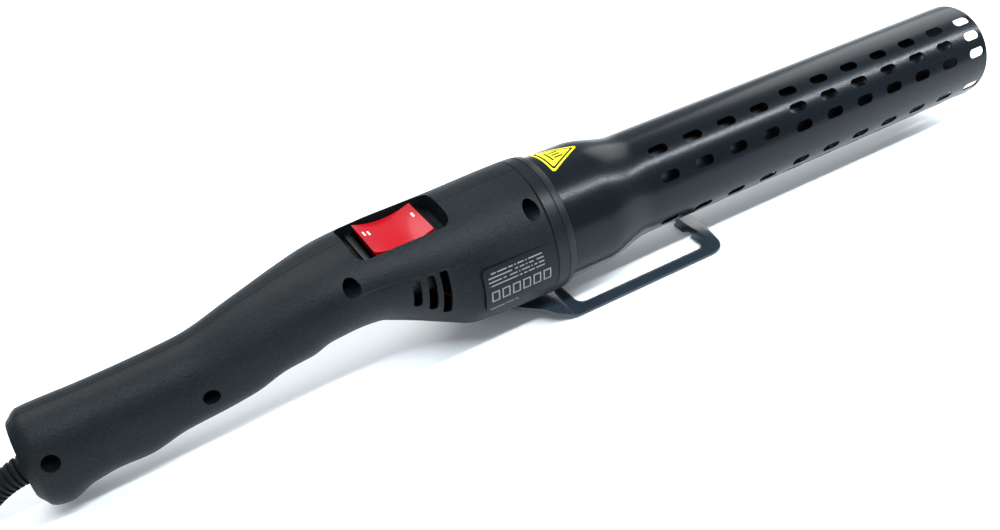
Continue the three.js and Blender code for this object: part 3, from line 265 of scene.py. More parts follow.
def merged(bodies: Iterable[bmesh.types.BMesh]) -> bmesh.types.BMesh:
    """Gather separate bodies into one bmesh and free them."""
    whole = bmesh.new()
    for body in bodies:
        part = bpy.data.meshes.new("part")
        body.to_mesh(part)
        body.free()
        whole.from_mesh(part)
        bpy.data.meshes.remove(part)
    return whole


def combined(body: bmesh.types.BMesh, tool: bmesh.types.BMesh, how: str = "DIFFERENCE") -> bmesh.types.BMesh:
    """Cut, join or intersect two closed bodies; both are used up.

    Args:
        body: the body that is kept.
        tool: the body that works on it.
        how: DIFFERENCE, UNION or INTERSECT.

    Returns:
        The result.
    """
    scratch = []
    for name, source in (("body", body), ("tool", tool)):
        mesh = bpy.data.meshes.new(name)
        source.to_mesh(mesh)
        source.free()
        scratch.append(bpy.data.objects.new(name, mesh))
        bpy.context.scene.collection.objects.link(scratch[-1])
    modifier = scratch[0].modifiers.new("cut", "BOOLEAN")
    modifier.operation = how
    modifier.solver = "EXACT"
    modifier.object = scratch[1]
    graph = bpy.context.evaluated_depsgraph_get()
    result = bmesh.new()
    result.from_mesh(scratch[0].evaluated_get(graph).data)
    for thing in scratch:
        mesh = thing.data
        bpy.data.objects.remove(thing)
        bpy.data.meshes.remove(mesh)
    return result


def softened(bm: bmesh.types.BMesh, width: float, segments: int = 2, angle: float = 35) -> bmesh.types.BMesh:
    """Round the edges that are sharper than an angle in degrees."""
    limit = math.radians(angle)
    edges = [e for e in bm.edges if len(e.link_faces) == 2 and e.calc_face_angle(0) > limit]
    bmesh.ops.bevel(bm, geom=edges, offset=width, segments=segments, affect="EDGES", profile=0.5, material=-1,
                    clamp_overlap=True)
    return bm


@dataclass
class Piece:
    """What every finished piece needs besides its mesh."""

    name: str
    finish: bpy.types.Material
    slot: str
    body: str = TOOL
    replaces: tuple[str, ...] = ()
    smooth: float = 32.0

    def make(self, bm: bmesh.types.BMesh) -> bpy.types.Object:
        """Turn a bmesh in barrel millimetres into a piece of the frame, and free it."""
        bm.transform(TO_FRAME)
        mesh = bpy.data.meshes.new(self.name)
        bm.to_mesh(mesh)
        bm.free()
        mesh.shade_smooth()
        mesh.set_sharp_from_angle(angle=math.radians(self.smooth))
        mesh.materials.append(self.finish)
        thing = bpy.data.objects.new(self.name, mesh)
        bpy.context.scene.collection.objects.link(thing)
        return self.register(thing)

    def register(self, thing: bpy.types.Object) -> bpy.types.Object:
        """Attach the piece to the body it rides on and hide the frame parts that it stands for."""
        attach(thing, self.body)
        if self.replaces:
            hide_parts(*self.replaces)
        log.info("made %s", self.name)
        return thing


# ----------------------------------------------------------------------------------------------------------
# Finishes
# ----------------------------------------------------------------------------------------------------------


class Value:
    """A number socket that adds Math nodes when it is used in sums."""

    def __init__(self, shop: "Shop", socket: bpy.types.NodeSocket) -> None:
        """Keep the tree's shop and the socket."""
        self.shop = shop
        self.socket = socket

    def _math(self, how: str, *terms: "Value | float") -> "Value":
        """Add one Math node."""
        node = self.shop.node("ShaderNodeMath", {"operation": how}, dict(enumerate(terms)))
        return Value(self.shop, node.outputs[0])

    def __add__(self, other: "Value | float") -> "Value":
        """Add."""
        return self._math("ADD", self, other)

    __radd__ = __add__

    def __sub__(self, other: "Value | float") -> "Value":
        """Subtract."""
        return self._math("SUBTRACT", self, other)

    def __rsub__(self, other: float) -> "Value":
        """Subtract from a number."""
        return self._math("SUBTRACT", other, self)

    def __mul__(self, other: "Value | float") -> "Value":
        """Multiply."""
        return self._math("MULTIPLY", self, other)

    __rmul__ = __mul__

    def __gt__(self, other: "Value | float") -> "Value":
        """Return 1 where this is greater."""
        return self._math("GREATER_THAN", self, other)

    def __lt__(self, other: "Value | float") -> "Value":
        """Return 1 where this is less."""
        return self._math("LESS_THAN", self, other)

    def fract(self) -> "Value":
        """Return the part after the point."""
        return self._math("FRACT", self)

    def floor(self) -> "Value":
        """Return the whole part."""
        return self._math("FLOOR", self)

    def step(self, low: float, high: float) -> "Value":
        """Return a smooth step from 0 at low to 1 at high."""
        node = self.shop.node("ShaderNodeMapRange", {"interpolation_type": "SMOOTHSTEP"},
                              {"Value": self, "From Min": low, "From Max": high})
        return Value(self.shop, node.outputs["Result"])


class Shop:
    """Builds the nodes of one material."""

    def __init__(self, name: str) -> None:
        """Start an empty material with its shader."""
        self.material = bpy.data.materials.new(name)
        self.material.use_nodes = True
        self.tree = self.material.node_tree
        self.tree.nodes.clear()
        self.shader = self.node("ShaderNodeBsdfPrincipled", {}, {})
        self.node("ShaderNodeOutputMaterial", {}, {"Surface": self.shader.outputs["BSDF"]})
        self.place = self.node("ShaderNodeTexCoord", {}, {}).outputs["Object"]

    def node(self, kind: str, settings: dict, sockets: dict) -> bpy.types.Node:
        """Add a node.

        Args:
            kind: the node's type.
            settings: its own properties, set first.
            sockets: values or links for its inputs, by name or number.

        Returns:
            The node.
        """
        made = self.tree.nodes.new(kind)
        for name, value in settings.items():
            setattr(made, name, value)
        for name, value in sockets.items():
            target = made.inputs[name]
            if isinstance(value, Value):
                value = value.socket
            if isinstance(value, bpy.types.NodeSocket):
                self.tree.links.new(value, target)
            else:
                target.default_value = value
        return made

    def noise(self, scale: float, stretch: Point3 = (1, 1, 1), detail: float = 3, seed: float = 0) -> Value:
        """Return a noise value with features about one over scale metres across."""
        place = self.node("ShaderNodeMapping", {}, {"Vector": self.place, "Scale": stretch,
                                                    "Location": (seed, seed * 0.7, 0)})
        made = self.node("ShaderNodeTexNoise", {},
                         {"Vector": place.outputs[0], "Scale": scale, "Detail": detail})
        return Value(self, made.outputs[0])

    def cells(self, scale: float) -> Value:
        """Return the distance to the nearest of many scattered points."""
        made = self.node("ShaderNodeTexVoronoi", {}, {"Vector": self.place, "Scale": scale})
        return Value(self, made.outputs["Distance"])

    def blend(self, factor: Value, low: Sequence[float], high: Sequence[float]) -> bpy.types.NodeSocket:
        """Return a colour between two colours."""
        made = self.node("ShaderNodeMix", {"data_type": "RGBA"}, {0: factor, 6: (*low, 1), 7: (*high, 1)})
        return made.outputs[2]

    def set(self, **values: object) -> None:
        """Set or link the shader's sockets, with underscores for spaces in their names."""
        for name, value in values.items():
            target = self.shader.inputs[name.replace("_", " ")]
            if isinstance(value, Value):
                value = value.socket
            if isinstance(value, bpy.types.NodeSocket):
                self.tree.links.new(value, target)
            else:
                target.default_value = value

    def relief(self, height: Value, distance: float, strength: float = 1.0) -> None:
        """Raise the surface by a height, in metres at height 1."""
        made = self.node("ShaderNodeBump", {}, {"Height": height, "Distance": distance, "Strength": strength})
        self.set(Normal=made.outputs["Normal"])


def shade(colour: Sequence[float], factor: float) -> tuple[float, ...]:
    """Return a colour made lighter or darker."""
    return tuple(min(1.0, c * factor) for c in colour)


@dataclass(frozen=True)
class Moulding:
    """Moulded plastic or rubber: an even colour, a fine spark-eroded grain and a little handling wear."""

    name: str
    colour: Point3
    roughness: float
    grain: float = 0.00006
    grain_scale: float = 1500.0
    wear: float = 0.12
    coat: float = 0.0
    shine: float = 0.2

    def material(self) -> bpy.types.Material:
        """Build the material."""
        shop = Shop(self.name)
        fine = shop.noise(self.grain_scale, detail=2)
        patches = shop.noise(38, detail=4, seed=3).step(0.35, 0.7)
        specks = shop.noise(420, detail=2, seed=9).step(0.62, 0.75)
        mottle = shop.noise(self.grain_scale * 0.7, detail=1, seed=13).step(0.3, 0.7)
        shop.set(
            Base_Color=shop.blend(patches * 0.3 + specks * 0.2 + mottle * 0.5,
                                  shade(self.colour, 1.0 - self.wear),
                                  shade(self.colour, 1.0 + self.wear)),
            Roughness=self.roughness + 0.07 * (fine - 0.5) + 0.06 * (patches - 0.5),
            Coat_Weight=self.coat,
            Coat_Roughness=0.08,
            Specular_IOR_Level=self.shine,
        )
        shop.relief(fine, self.grain)
        return shop.material


@dataclass(frozen=True)
class Paint:
    """Baked paint on sheet steel: a slight orange peel, dust and faint rubbed streaks."""

    name: str
    colour: Point3
    roughness: float
    streak: Point3 = (0.08, 1, 1)
    coat: float = 0.0
    shine: float = 0.3

    def material(self) -> bpy.types.Material:
        """Build the material."""
        shop = Shop(self.name)
        peel = shop.noise(520, detail=2)
        streaks = shop.noise(260, self.streak, detail=3, seed=5).step(0.45, 0.8)
        clouds = shop.noise(16, detail=5, seed=2).step(0.3, 0.75)
        dust = shop.noise(900, detail=1, seed=8).step(0.7, 0.78)
        shop.set(
            Base_Color=shop.blend(0.4 * clouds + 0.2 * streaks + 0.4 * dust,
                                  self.colour, shade(self.colour, 1.4)),
            Roughness=self.roughness + 0.04 * (clouds - 0.5) + 0.05 * streaks + 0.1 * dust,
            Metallic=0.0,
            Coat_Weight=self.coat,
            Coat_Roughness=0.2,
            Specular_IOR_Level=self.shine,
        )
        shop.relief(peel, 0.00005, 0.4)
        return shop.material


@dataclass(frozen=True)
class Metal:
    """Bare metal with a drawn or turned grain and darker stains."""

    name: str
    colour: Point3
    roughness: float
    stretch: Point3 = (0.05, 1, 1)
    stain: Point3 = (0.25, 0.2, 0.17)
    stained: float = 0.25

    def material(self) -> bpy.types.Material:
        """Build the material."""
        shop = Shop(self.name)
        grain = shop.noise(1800, self.stretch, detail=3)
        stains = shop.noise(45, detail=5, seed=4).step(0.5, 0.8)
        shop.set(
            Base_Color=shop.blend(stains * self.stained, self.colour, self.stain),
            Roughness=self.roughness + 0.16 * (grain - 0.5) + 0.12 * stains,
            Metallic=1.0 - 0.3 * stains,
        )
        shop.relief(grain, 0.00002, 0.6)
        return shop.material


@dataclass(frozen=True)
class Mineral:
    """Pressed mica or fired ceramic: flakes or pores in a matt body."""

    name: str
    colour: Point3
    flake: Point3
    scale: float

    def material(self) -> bpy.types.Material:
        """Build the material."""
        shop = Shop(self.name)
        flakes = shop.cells(self.scale)
        clouds = shop.noise(60, detail=5, seed=1)
        shop.set(
            Base_Color=shop.blend(flakes.step(0.1, 0.7) * 0.6 + clouds * 0.4, self.flake, self.colour),
            Roughness=0.65 + 0.2 * (clouds - 0.5),
        )
        shop.relief(flakes, 0.00008, 0.6)
        return shop.material


@dataclass(frozen=True)
class Film:
    """Printed plastic film over the surface beneath it, with soft dents from its adhesive."""

    name: str
    colour: Point3
    roughness: float = 0.32
    print_colour: Point3 | None = None

    def material(self) -> bpy.types.Material:
        """Build the material, with rows of plain printed bars where it has a print colour."""
        shop = Shop(self.name)
        dents = shop.noise(160, detail=2)
        scuffs = shop.noise(70, detail=4, seed=6).step(0.5, 0.8)
        ground = shop.blend(scuffs * 0.5, self.colour, shade(self.colour, 1.25))
        if self.print_colour is not None:
            ground = self.printed(shop, ground)
        shop.set(Base_Color=ground, Roughness=self.roughness + 0.15 * scuffs, Specular_IOR_Level=0.25)
        shop.relief(dents, 0.00006, 0.4)
        return shop.material

    def printed(self, shop: Shop, ground: bpy.types.NodeSocket) -> bpy.types.NodeSocket:
        """Return the ground colour with bars and boxes printed on it, laid out by the label's own map."""
        label = shop.node("ShaderNodeUVMap", {"uv_map": "label"}, {})
        split = shop.node("ShaderNodeSeparateXYZ", {}, {0: label.outputs[0]})
        u, v = Value(shop, split.outputs[0]), Value(shop, split.outputs[1])
        ink = self.lines(shop, u, v)
        ink = ink + self.boxes(u, v)
        made = shop.node("ShaderNodeMix", {"data_type": "RGBA"},
                         {0: ink, 6: ground, 7: (*self.print_colour, 1)})
        return made.outputs[2]

    def lines(self, shop: Shop, u: Value, v: Value) -> Value:
        """Return the rows of short bars that stand for small print."""
        rows, dashes = 13.0, 46.0
        row = (v * rows).floor()
        thick = ((v * rows).fract() > 0.34) * ((v * rows).fract() < 0.66)
        cell = shop.node("ShaderNodeCombineXYZ", {}, {0: (u * dashes).floor(), 1: row})
        pick = shop.node("ShaderNodeTexWhiteNoise", {"noise_dimensions": "2D"}, {0: cell.outputs[0]})
        marked = Value(shop, pick.outputs[0]) > 0.22
        inside = (u > 0.06) * (u < 0.84)
        upper = (v > 0.615) * (v < 0.93)
        lower = (v > 0.07) * (v < 0.16) * (u < 0.46)
        return thick * marked * inside * (upper + lower)

    def boxes(self, u: Value, v: Value) -> Value:
        """Return a row of plain open squares."""
        count, low, high, line = 6.0, 0.3, 0.53, 0.12
        across = ((u - 0.06) * (count / 0.88)).fract()
        up = (v - low) * (1 / (high - low))
        inside = (across > 0.12) * (across < 0.88) * (up > 0) * (up < 1) * (u > 0.06) * (u < 0.94)
        hollow = (across > 0.12 + line) * (across < 0.88 - line) * (up > line) * (up < 1 - line)
        return inside - inside * hollow


class Finishes:
    """All the materials, built once."""

    def __init__(self) -> None:
        """Build every material."""
        self.handle = Moulding("charcoal_moulding", (0.0095, 0.0125, 0.0148), 0.44, grain=0.0002,
                               grain_scale=1500, wear=0.4).material()
        self.ring = Moulding("ring_moulding", (0.007, 0.009, 0.0108), 0.38, grain=0.00004,
                             shine=0.3).material()
        self.dark = Moulding("switch_moulding", (0.006, 0.006, 0.007), 0.3, grain=0.00002,
                             shine=0.4).material()
        self.red = Moulding("red_rocker", (0.36, 0.003, 0.010), 0.3, grain=0.000006, wear=0.05,
                            coat=0.15, shine=0.3).material()
        self.rubber = Moulding("cord_sheath", (0.009, 0.010, 0.011), 0.5, grain=0.00003,
                               grain_scale=900).material()
        self.blue = Moulding("lead_blue", (0.03, 0.11, 0.4), 0.45, grain=0.00001).material()
        self.brown = Moulding("lead_brown", (0.14, 0.05, 0.015), 0.45, grain=0.00001).material()
        self.board = Moulding("board_green", (0.03, 0.12, 0.04), 0.5, grain=0.00001).material()
        self.white = Moulding("white_mark", (0.85, 0.85, 0.83), 0.4, grain=0.00001, wear=0.05).material()
        self.barrel = Paint("black_baked_paint", (0.0032, 0.0058, 0.0082), 0.25, shine=0.28).material()
        # The stand's base colour is lighter than the barrel's black paint: a painted reflection of the bright
        # surround on the sheet.
        self.stand = Paint("stand_paint_lightened_as_painted_reflection", (0.030, 0.041, 0.052), 0.22, coat=0.5, shine=0.5).material()
        self.steel = Metal("bright_steel", (0.62, 0.63, 0.65), 0.3).material()
        # The inner tube's steel is darkened to a dim grey as painted shade inside the barrel; its brown
        # blotches are stains.
        self.shade_darkened_steel = Metal("inner_steel_darkened_as_painted_shade", (0.13, 0.13, 0.135), 0.36, stained=0.5,
                            stain=(0.06, 0.05, 0.045)).material()
        self.wire = Metal("resistance_wire", (0.33, 0.33, 0.34), 0.45).material()
        self.brass = Metal("brass", (0.72, 0.5, 0.2), 0.32).material()
        self.mica = Mineral("pressed_mica", (0.5, 0.42, 0.3), (0.38, 0.3, 0.2), 700).material()
        self.ceramic = Mineral("steatite", (0.8, 0.76, 0.68), (0.7, 0.66, 0.58), 1400).material()
        self.yellow = Film("yellow_film", (0.87, 0.72, 0.03)).material()
        self.black = Film("black_film", (0.012, 0.012, 0.012)).material()
        self.plate = Film("rating_film", (0.006, 0.008, 0.0095), 0.42,
                          print_colour=(0.2, 0.21, 0.225)).material()
        self.by_slot = {
            "handlePlastic": self.handle, "blackSteel": self.barrel, "brightSteel": self.steel,
            "standSteel": self.stand, "mica": self.mica, "ceramic": self.ceramic, "nichrome": self.wire,
            "redPlastic": self.red, "blackPlastic": self.dark, "brass": self.brass, "yellowFilm": self.yellow,
            "darkFilm": self.black, "leadBlue": self.blue, "leadBrown": self.brown, "cordRubber": self.rubber,
            "board": self.board,
        }

    def dress_frame(self) -> None:
        """Give every CAD node the material of its slot, and the inner tube the steel darkened as painted
        shade.
        """
        for part in frame["record"]["subparts"]:
            thing = bpy.data.objects[part["node"]]
            finish = self.shade_darkened_steel if part["node"] == "inner_tube" else self.by_slot[part["material_slot"]]
            thing.data.materials.clear()
            thing.data.materials.append(finish)


# ----------------------------------------------------------------------------------------------------------
# Stage
# ----------------------------------------------------------------------------------------------------------


@dataclass(frozen=True)
class Lamp:
    """A rectangular soft light; its sizes are in metres and its power in watts."""

    name: str
    place: Point3
    target: Point3
    length: float
    breadth: float
    power: float
    colour: Point3 = (1.0, 1.0, 1.0)

    def hang(self) -> None:
        """Put the light in the scene, facing its target."""
        data = bpy.data.lights.new(self.name, "AREA")
        data.shape = "RECTANGLE"
        data.size, data.size_y = self.length, self.breadth
        data.energy = self.power
        data.color = self.colour
        lamp = bpy.data.objects.new(self.name, data)
        aim = (Vector(self.target) - Vector(self.place)).to_track_quat("-Z", "Y")
        lamp.matrix_world = Matrix.Translation(self.place) @ aim.to_matrix().to_4x4()
        bpy.context.scene.collection.objects.link(lamp)


@dataclass
class Studio:
    """Floor, soft lights and the camera."""

    eye: Point3 = (-0.20095, -0.3276, 0.2987)
    right: Point3 = (0.859, -0.505, -0.090)
    up: Point3 = (0.367, 0.483, 0.795)
    lens: float = 37.1
    lamps: tuple[Lamp, ...] = (
        Lamp("key", (-0.4, 0.8, 1.6), (0.05, 0, 0.03), 1.4, 1.4, 22.0),
        Lamp("fill", (-0.9, -1.3, 0.8), (0, 0, 0.03), 1.5, 1.5, 4.0),
        Lamp("edge", (1.5, 0.9, 0.9), (0.1, 0, 0.03), 1.0, 1.0, 6.0),
        Lamp("strip", (0.9, -0.47, 0.95), (0.9, 0, 0.04), 2.6, 0.06, 25.0, (0.86, 0.94, 1.0)),
    )

    def camera(self) -> None:
        """Place the camera."""
        data = bpy.data.cameras.new("camera")
        data.sensor_width = 36
        data.lens = self.lens
        data.clip_start = 0.01
        thing = bpy.data.objects.new("camera", data)
        right = Vector(self.right).normalized()
        up = Vector(self.up)
        up = (up - right * up.dot(right)).normalized()
        back = right.cross(up)
        turn = Matrix((right, up, back)).transposed().to_4x4()
        thing.matrix_world = Matrix.Translation(self.eye) @ turn
        bpy.context.scene.collection.objects.link(thing)
        bpy.context.scene.camera = thing

    def stage(self) -> None:
        """Lay the floor and hang the lights."""
        bm = bmesh.new()
        bmesh.ops.create_grid(bm, x_segments=1, y_segments=1, size=6)
        mesh = bpy.data.meshes.new("floor")
        bm.to_mesh(mesh)
        bm.free()
        floor = bpy.data.objects.new("floor", mesh)
        shop = Shop("pale_floor")
        shop.set(Base_Color=(0.86, 0.87, 0.88, 1), Roughness=0.7)
        mesh.materials.append(shop.material)
        bpy.context.scene.collection.objects.link(floor)
        for lamp in self.lamps:
            lamp.hang()
        view = bpy.context.scene.view_settings
        view.view_transform = "Standard"
        view.look = "Medium High Contrast"
        world = bpy.data.worlds.new("studio")
        world.use_nodes = True
        ground = world.node_tree.nodes["Background"]
        ground.inputs["Color"].default_value = (0.86, 0.94, 1.0, 1)
        ground.inputs["Strength"].default_value = 0.55
        bpy.context.scene.world = world


# ----------------------------------------------------------------------------------------------------------
# Mains lead
# ----------------------------------------------------------------------------------------------------------


@dataclass
class MainsLead:
    """Strain relief, cord, its coil and tie, and the two-pin plug."""

    finishes: Finishes
    radius: float = 3.5
    drop: float = 14.5
    tilt: float = 8.0
    bend: float = 30.0
    relief_angle: float = 42.0
    relief_radius: float = 6.0
    settle: float = 50.0
    coil_centre: Point2 = (TAIL - 81.5, 24.0)
    coil_radius: float = 43.4
    pitch: float = 7.15
    rise: float = 7.1
    layers: int = 4
    climb: float = 0.2
    leave: float = 15.0
    plug_radius: float = 18.0
    plug_tail: float = 9.0
    plug_length: float = 38.0
    pin_radius: float = 2.4
    pin_length: float = 19.0
    pin_spacing: float = 19.0

    @property
    def plug_axis(self) -> Point2:
        """Return the plug axis's x and z."""
        return self.coil_centre[0] - 47 - 0.3 - self.plug_radius, FLOOR + self.plug_radius

    def relief_point(self, degrees: float) -> Vector:
        """Return a point on the strain relief's bend."""
        x = TAIL - self.bend * (math.sin(math.radians(degrees)) - math.sin(math.radians(self.tilt)))
        z = -self.drop - self.bend * (math.cos(math.radians(self.tilt)) - math.cos(math.radians(degrees)))
        return Vector((x, 0, z))

    def lead_in(self, heading: float) -> list[Vector]:
        """Return the way down from the relief to the surface, turning right by a heading in radians."""
        step = 1.0
        point = self.relief_point(self.relief_angle)
        path = [point.copy()]
        travelled = 0.0
        while travelled < 40:
            fall = max(0.0, math.radians(self.relief_angle) - travelled / self.settle)
            turn = heading * ease((travelled - 3) / 34)
            point = point + step * Vector((-math.cos(fall) * math.cos(turn), -math.cos(fall) * math.sin(turn),
                                           -math.sin(fall)))
            travelled += step
            path.append(point.copy())
        lie = FLOOR + self.radius
        error = path[-1].z - lie
        for i, place in enumerate(path):
            place.z -= error * ease(i / (len(path) - 1))
        return path

    def miss(self, heading: float) -> float:
        """Return how far outside the coil's outer turn the lead passes on a heading."""
        end = self.lead_in(heading)[-1]
        way = Vector((-math.cos(heading), -math.sin(heading)))
        gap = Vector((self.coil_centre[0] - end.x, self.coil_centre[1] - end.y))
        return abs(way.x * gap.y - way.y * gap.x) - self.coil_radius

    def heading(self) -> float:
        """Return the heading on which the lead meets the coil's outer turn."""
        low, high = math.radians(5), math.radians(45)
        rising = self.miss(high) > self.miss(low)
        for _ in range(40):
            middle = (low + high) / 2
            if (self.miss(middle) > 0) == rising:
                high = middle
            else:
                low = middle
        return (low + high) / 2

    def coil(self, start: float, end: float) -> list[Vector]:
        """Return the coil's centre line.

        Args:
            start: angle of its first point, in degrees.
            end: angle of its last point, which is reached clockwise after whole turns more.

        Returns:
            The points, layer by layer.
        """
        turns = 7 + (start - end) / 360
        per_layer = (turns - (self.layers - 1) * self.climb) / self.layers
        inner = self.coil_radius - per_layer * self.pitch
        path = []
        angle = start
        for layer in range(self.layers):
            inward = layer % 2 == 0
            first, last = (self.coil_radius, inner) if inward else (inner, self.coil_radius)
            height = FLOOR + self.radius + layer * self.rise
            count = round(per_layer * 36)
            for i in range(count + 1):
                share = i / count
                path.append(self.on_circle(first + (last - first) * share, angle - 360 * per_layer * share,
                                           height))
            angle -= 360 * per_layer
            if layer < self.layers - 1:
                count = round(self.climb * 36)
                for i in range(1, count):
                    lift = self.rise * ease(i / count)
                    path.append(self.on_circle(last, angle - 360 * self.climb * i / count, height + lift))
                angle -= 360 * self.climb
        return path

    def on_circle(self, radius: float, degrees: float, height: float) -> Vector:
        """Return a point round the coil's centre."""
        angle = math.radians(degrees)
        return Vector((self.coil_centre[0] + radius * math.cos(angle),
                       self.coil_centre[1] + radius * math.sin(angle), height))

    def lead_out(self, top: Vector) -> list[Vector]:
        """Return the way from the coil's last point to the plug's neck."""
        tilt = math.radians(self.leave)
        plug_x, plug_z = self.plug_axis
        across = top.x - plug_x
        rise = self.plug_tail - top.y
        # straight reach d and bend radius r, from r cos(tilt) = rise + d sin(tilt) and the same across
        cosine, sine = math.cos(tilt), math.sin(tilt)
        reach = (across - (1 + sine) * rise / cosine) / (cosine + (1 + sine) * sine / cosine)
        bend = (rise + reach * sine) / cosine
        path = []
        way = Vector((-cosine, -sine, 0))
        for i in range(1, 9):
            path.append(top + way * reach * i / 8)
        corner = path[-1]
        for i in range(1, 25):
            turn = -tilt + (math.pi / 2 + tilt) * i / 24
            path.append(corner + Vector((-bend * (math.sin(turn) + sine),
                                         bend * (cosine - math.cos(turn)), 0)))
        lengths = [0.0]
        for a, b in zip([top, *path], path):
            lengths.append(lengths[-1] + (b - a).length)
        for place, travelled in zip(path, lengths[1:]):
            place.z += (plug_z - top.z) * ease((travelled - 20) / (lengths[-1] - 32))
        return path

    def route(self) -> list[Vector]:
        """Return the whole lead from the relief's tip to the plug, in barrel millimetres."""
        heading = self.heading()
        path = self.lead_in(heading)
        start = math.degrees(heading) - 90
        entry = self.on_circle(self.coil_radius, start, FLOOR + self.radius)
        last = path[-1]
        last.z = entry.z
        reach = (entry - last).length
        count = max(1, round(reach / 3))
        path += [last + (entry - last) * i / count for i in range(1, count)]
        path += self.coil(start, -90 + self.leave)
        path += self.lead_out(path[-1])
        return path

    def cord(self, tie: bpy.types.Object, plug: list[bpy.types.Object]) -> None:
        points = [TO_FRAME @ p for p in self.route()]
        curve = bpy.data.curves.new("mains_cord", "CURVE")
        curve.dimensions = "3D"
        curve.bevel_depth = self.radius * MM
        curve.bevel_resolution = 4
        curve.use_fill_caps = True
        spline = curve.splines.new("POLY")
        spline.points.add(len(points) - 1)
        for target, place in zip(spline.points, points):
            target.co = (*place, 1)
        curve.materials.append(self.finishes.rubber)
        thing = bpy.data.objects.new("mains_cord", curve)
        bpy.context.scene.collection.objects.link(thing)
        Piece("mains_cord", self.finishes.rubber, "cordRubber",
              replaces=("cord", "cord_coil")).register(thing)
        length = sum((b - a).length for a, b in zip(points, points[1:]))
        log.info("cord is %.3f m long", length)

    def relief(self) -> bpy.types.Object:
        """Make the ribbed, tapering strain relief."""
        root = self.relief_point(self.tilt)
        stops = [(Vector((root.x + 7.9, 0, -self.drop)), 0.0, self.relief_radius),
                 (Vector((root.x + 1.5, 0, -self.drop)), 0.0, self.relief_radius)]
        rings, ribs = 72, 8
        for i in range(rings + 1):
            share = i / rings
            angle = self.tilt + (self.relief_angle - self.tilt) * share
            taper = self.relief_radius + (4.4 - self.relief_radius) * share
            wave = (share * ribs) % 1
            groove = 0.75 * bump_between(wave, (0.45, 0.58), (0.84, 0.97)) if 0.06 < share < 0.97 else 0
            stops.append((self.relief_point(angle), angle, taper - groove))
        end = stops[-1]
        stops.append((end[0] + Vector((-0.35, 0, -0.3)), end[1], end[2] - 0.5))
        rows = []
        for centre, lean, radius in stops:
            tilt = math.radians(lean)
            rows.append([centre + Vector((-radius * math.sin(a) * math.sin(tilt), radius * math.cos(a),
                                          radius * math.sin(a) * math.cos(tilt)))
                         for a in (2 * math.pi * k / 40 for k in range(40))])
        return Piece("cord_strain_relief", self.finishes.rubber, "cordRubber",
                     replaces=("strain_relief",)).make(loft(rows))

    def tie(self) -> bpy.types.Object:
        """Make the strap that holds the coil."""
        outer = rounded_rectangle(27.2, 47, FLOOR + 0.05, FLOOR + 28.9, 4)
        inner = rounded_rectangle(27.9, 46.3, FLOOR + 0.75, FLOOR + 28.2, 3.4)
        band = combined(prism(outer, Plane.XZ, -6, 6), prism(inner, Plane.XZ, -8, 8))
        bmesh.ops.rotate(band, verts=band.verts, cent=(0, 0, 0),
                         matrix=Matrix.Rotation(math.radians(90), 3, "Z"))
        bmesh.ops.translate(band, verts=band.verts, vec=(*self.coil_centre, 0))
        return Piece("coil_tie", self.finishes.dark, "cordRubber").make(band)

    def plug(self) -> list[bpy.types.Object]:
        """Make the plug's body, pins and the sleeves on the pins."""
        plug_x, plug_z = self.plug_axis
        centre = (plug_x, self.plug_tail, plug_z)
        along = (0, 1, 0)
        neck = [(0.0, 3.6), (0.0, 5.0)]
        for k in range(5):
            y = 0.6 + k * 1.9
            wide = 5.2 + 0.42 * k
            neck += [(y, wide), (y + 1.1, wide + 0.25), (y + 1.2, wide - 0.6), (y + 1.8, wide - 0.5)]
        shoulder_line = (quadratic((10.4, 7.4), (14.0, 9.0), (16.5, 14.5), 8)
                         + arc((20.5, 13.9), 4.0, 172, 92, 6))
        radius = self.plug_radius
        front = [(self.plug_length - 1.2, radius), (self.plug_length - 0.35, radius - 0.35),
                 (self.plug_length, radius - 1.2), (self.plug_length, 0.0), (0.6, 0.0)]
        body = lathe(neck + shoulder_line + [(21.5, radius)] + front, 72, along, centre, closed=False)
        bores = merged(rod(self.pin_radius + 0.25, self.plug_length - 8, self.plug_length + 2, along,
                           (plug_x + side * self.pin_spacing / 2, self.plug_tail, plug_z))
                       for side in (-1, 1))
        body = combined(body, bores)
        grips = merged(prism(rounded_rectangle(22.5 + k * 3.2, 24.0 + k * 3.2, -9, 9, 0.7, 3), Plane.XY,
                             radius - 0.6, radius + 2) for k in range(4))
        turned = []
        for angle in (0, 180):
            part = grips.copy()
            bmesh.ops.rotate(part, verts=part.verts, cent=(0, 0, 0),
                             matrix=Matrix.Rotation(math.radians(90), 3, "Z"))
            bmesh.ops.rotate(part, verts=part.verts, cent=(0, 0, 0),
                             matrix=Matrix.Rotation(math.radians(angle + 90), 3, "Y"))
            bmesh.ops.translate(part, verts=part.verts, vec=centre)
            turned.append(part)
        grips.free()
        body = combined(body, merged(turned))
        made = [Piece("plug_moulding", self.finishes.rubber, "cordRubber",
                      replaces=("plug_body",)).make(body)]
        for name, side in (("front", 1), ("rear", -1)):
            at = (plug_x + side * self.pin_spacing / 2, self.plug_tail + self.plug_length, plug_z)
            tip = [(x, max(0.0, r)) for x, r in arc((self.pin_length - 2, 0), self.pin_radius, 90, 0, 6)]
            pin = lathe([(-7.5, 0), (-7.5, self.pin_radius), (-0.5, self.pin_radius), (-0.5, 1.95),
                         (9.3, 1.95), (9.3, self.pin_radius), *tip], 32, along, at, closed=False)
            made.append(Piece(f"plug_contact_{name}", self.finishes.steel, "brightSteel",
                              replaces=(f"plug_pin_{name}",)).make(pin))
            sleeve = lathe([(-0.3, 2.0), (-0.3, 2.38), (9.2, 2.38), (9.2, 2.0)], 32, along, at)
            made.append(Piece(f"plug_sleeve_{name}", self.finishes.dark, "cordRubber").make(sleeve))
        return made

    def build(self) -> None:
        """Make the whole lead."""
        relief = self.relief()
        self.cord(self.tie(), [relief, *self.plug()])


# ----------------------------------------------------------------------------------------------------------
# Handle
# ----------------------------------------------------------------------------------------------------------


class Side(Enum):
    """The side of a shell: its sign along y and its name."""

    RIGHT = (-1, "right")
    LEFT = (1, "left")


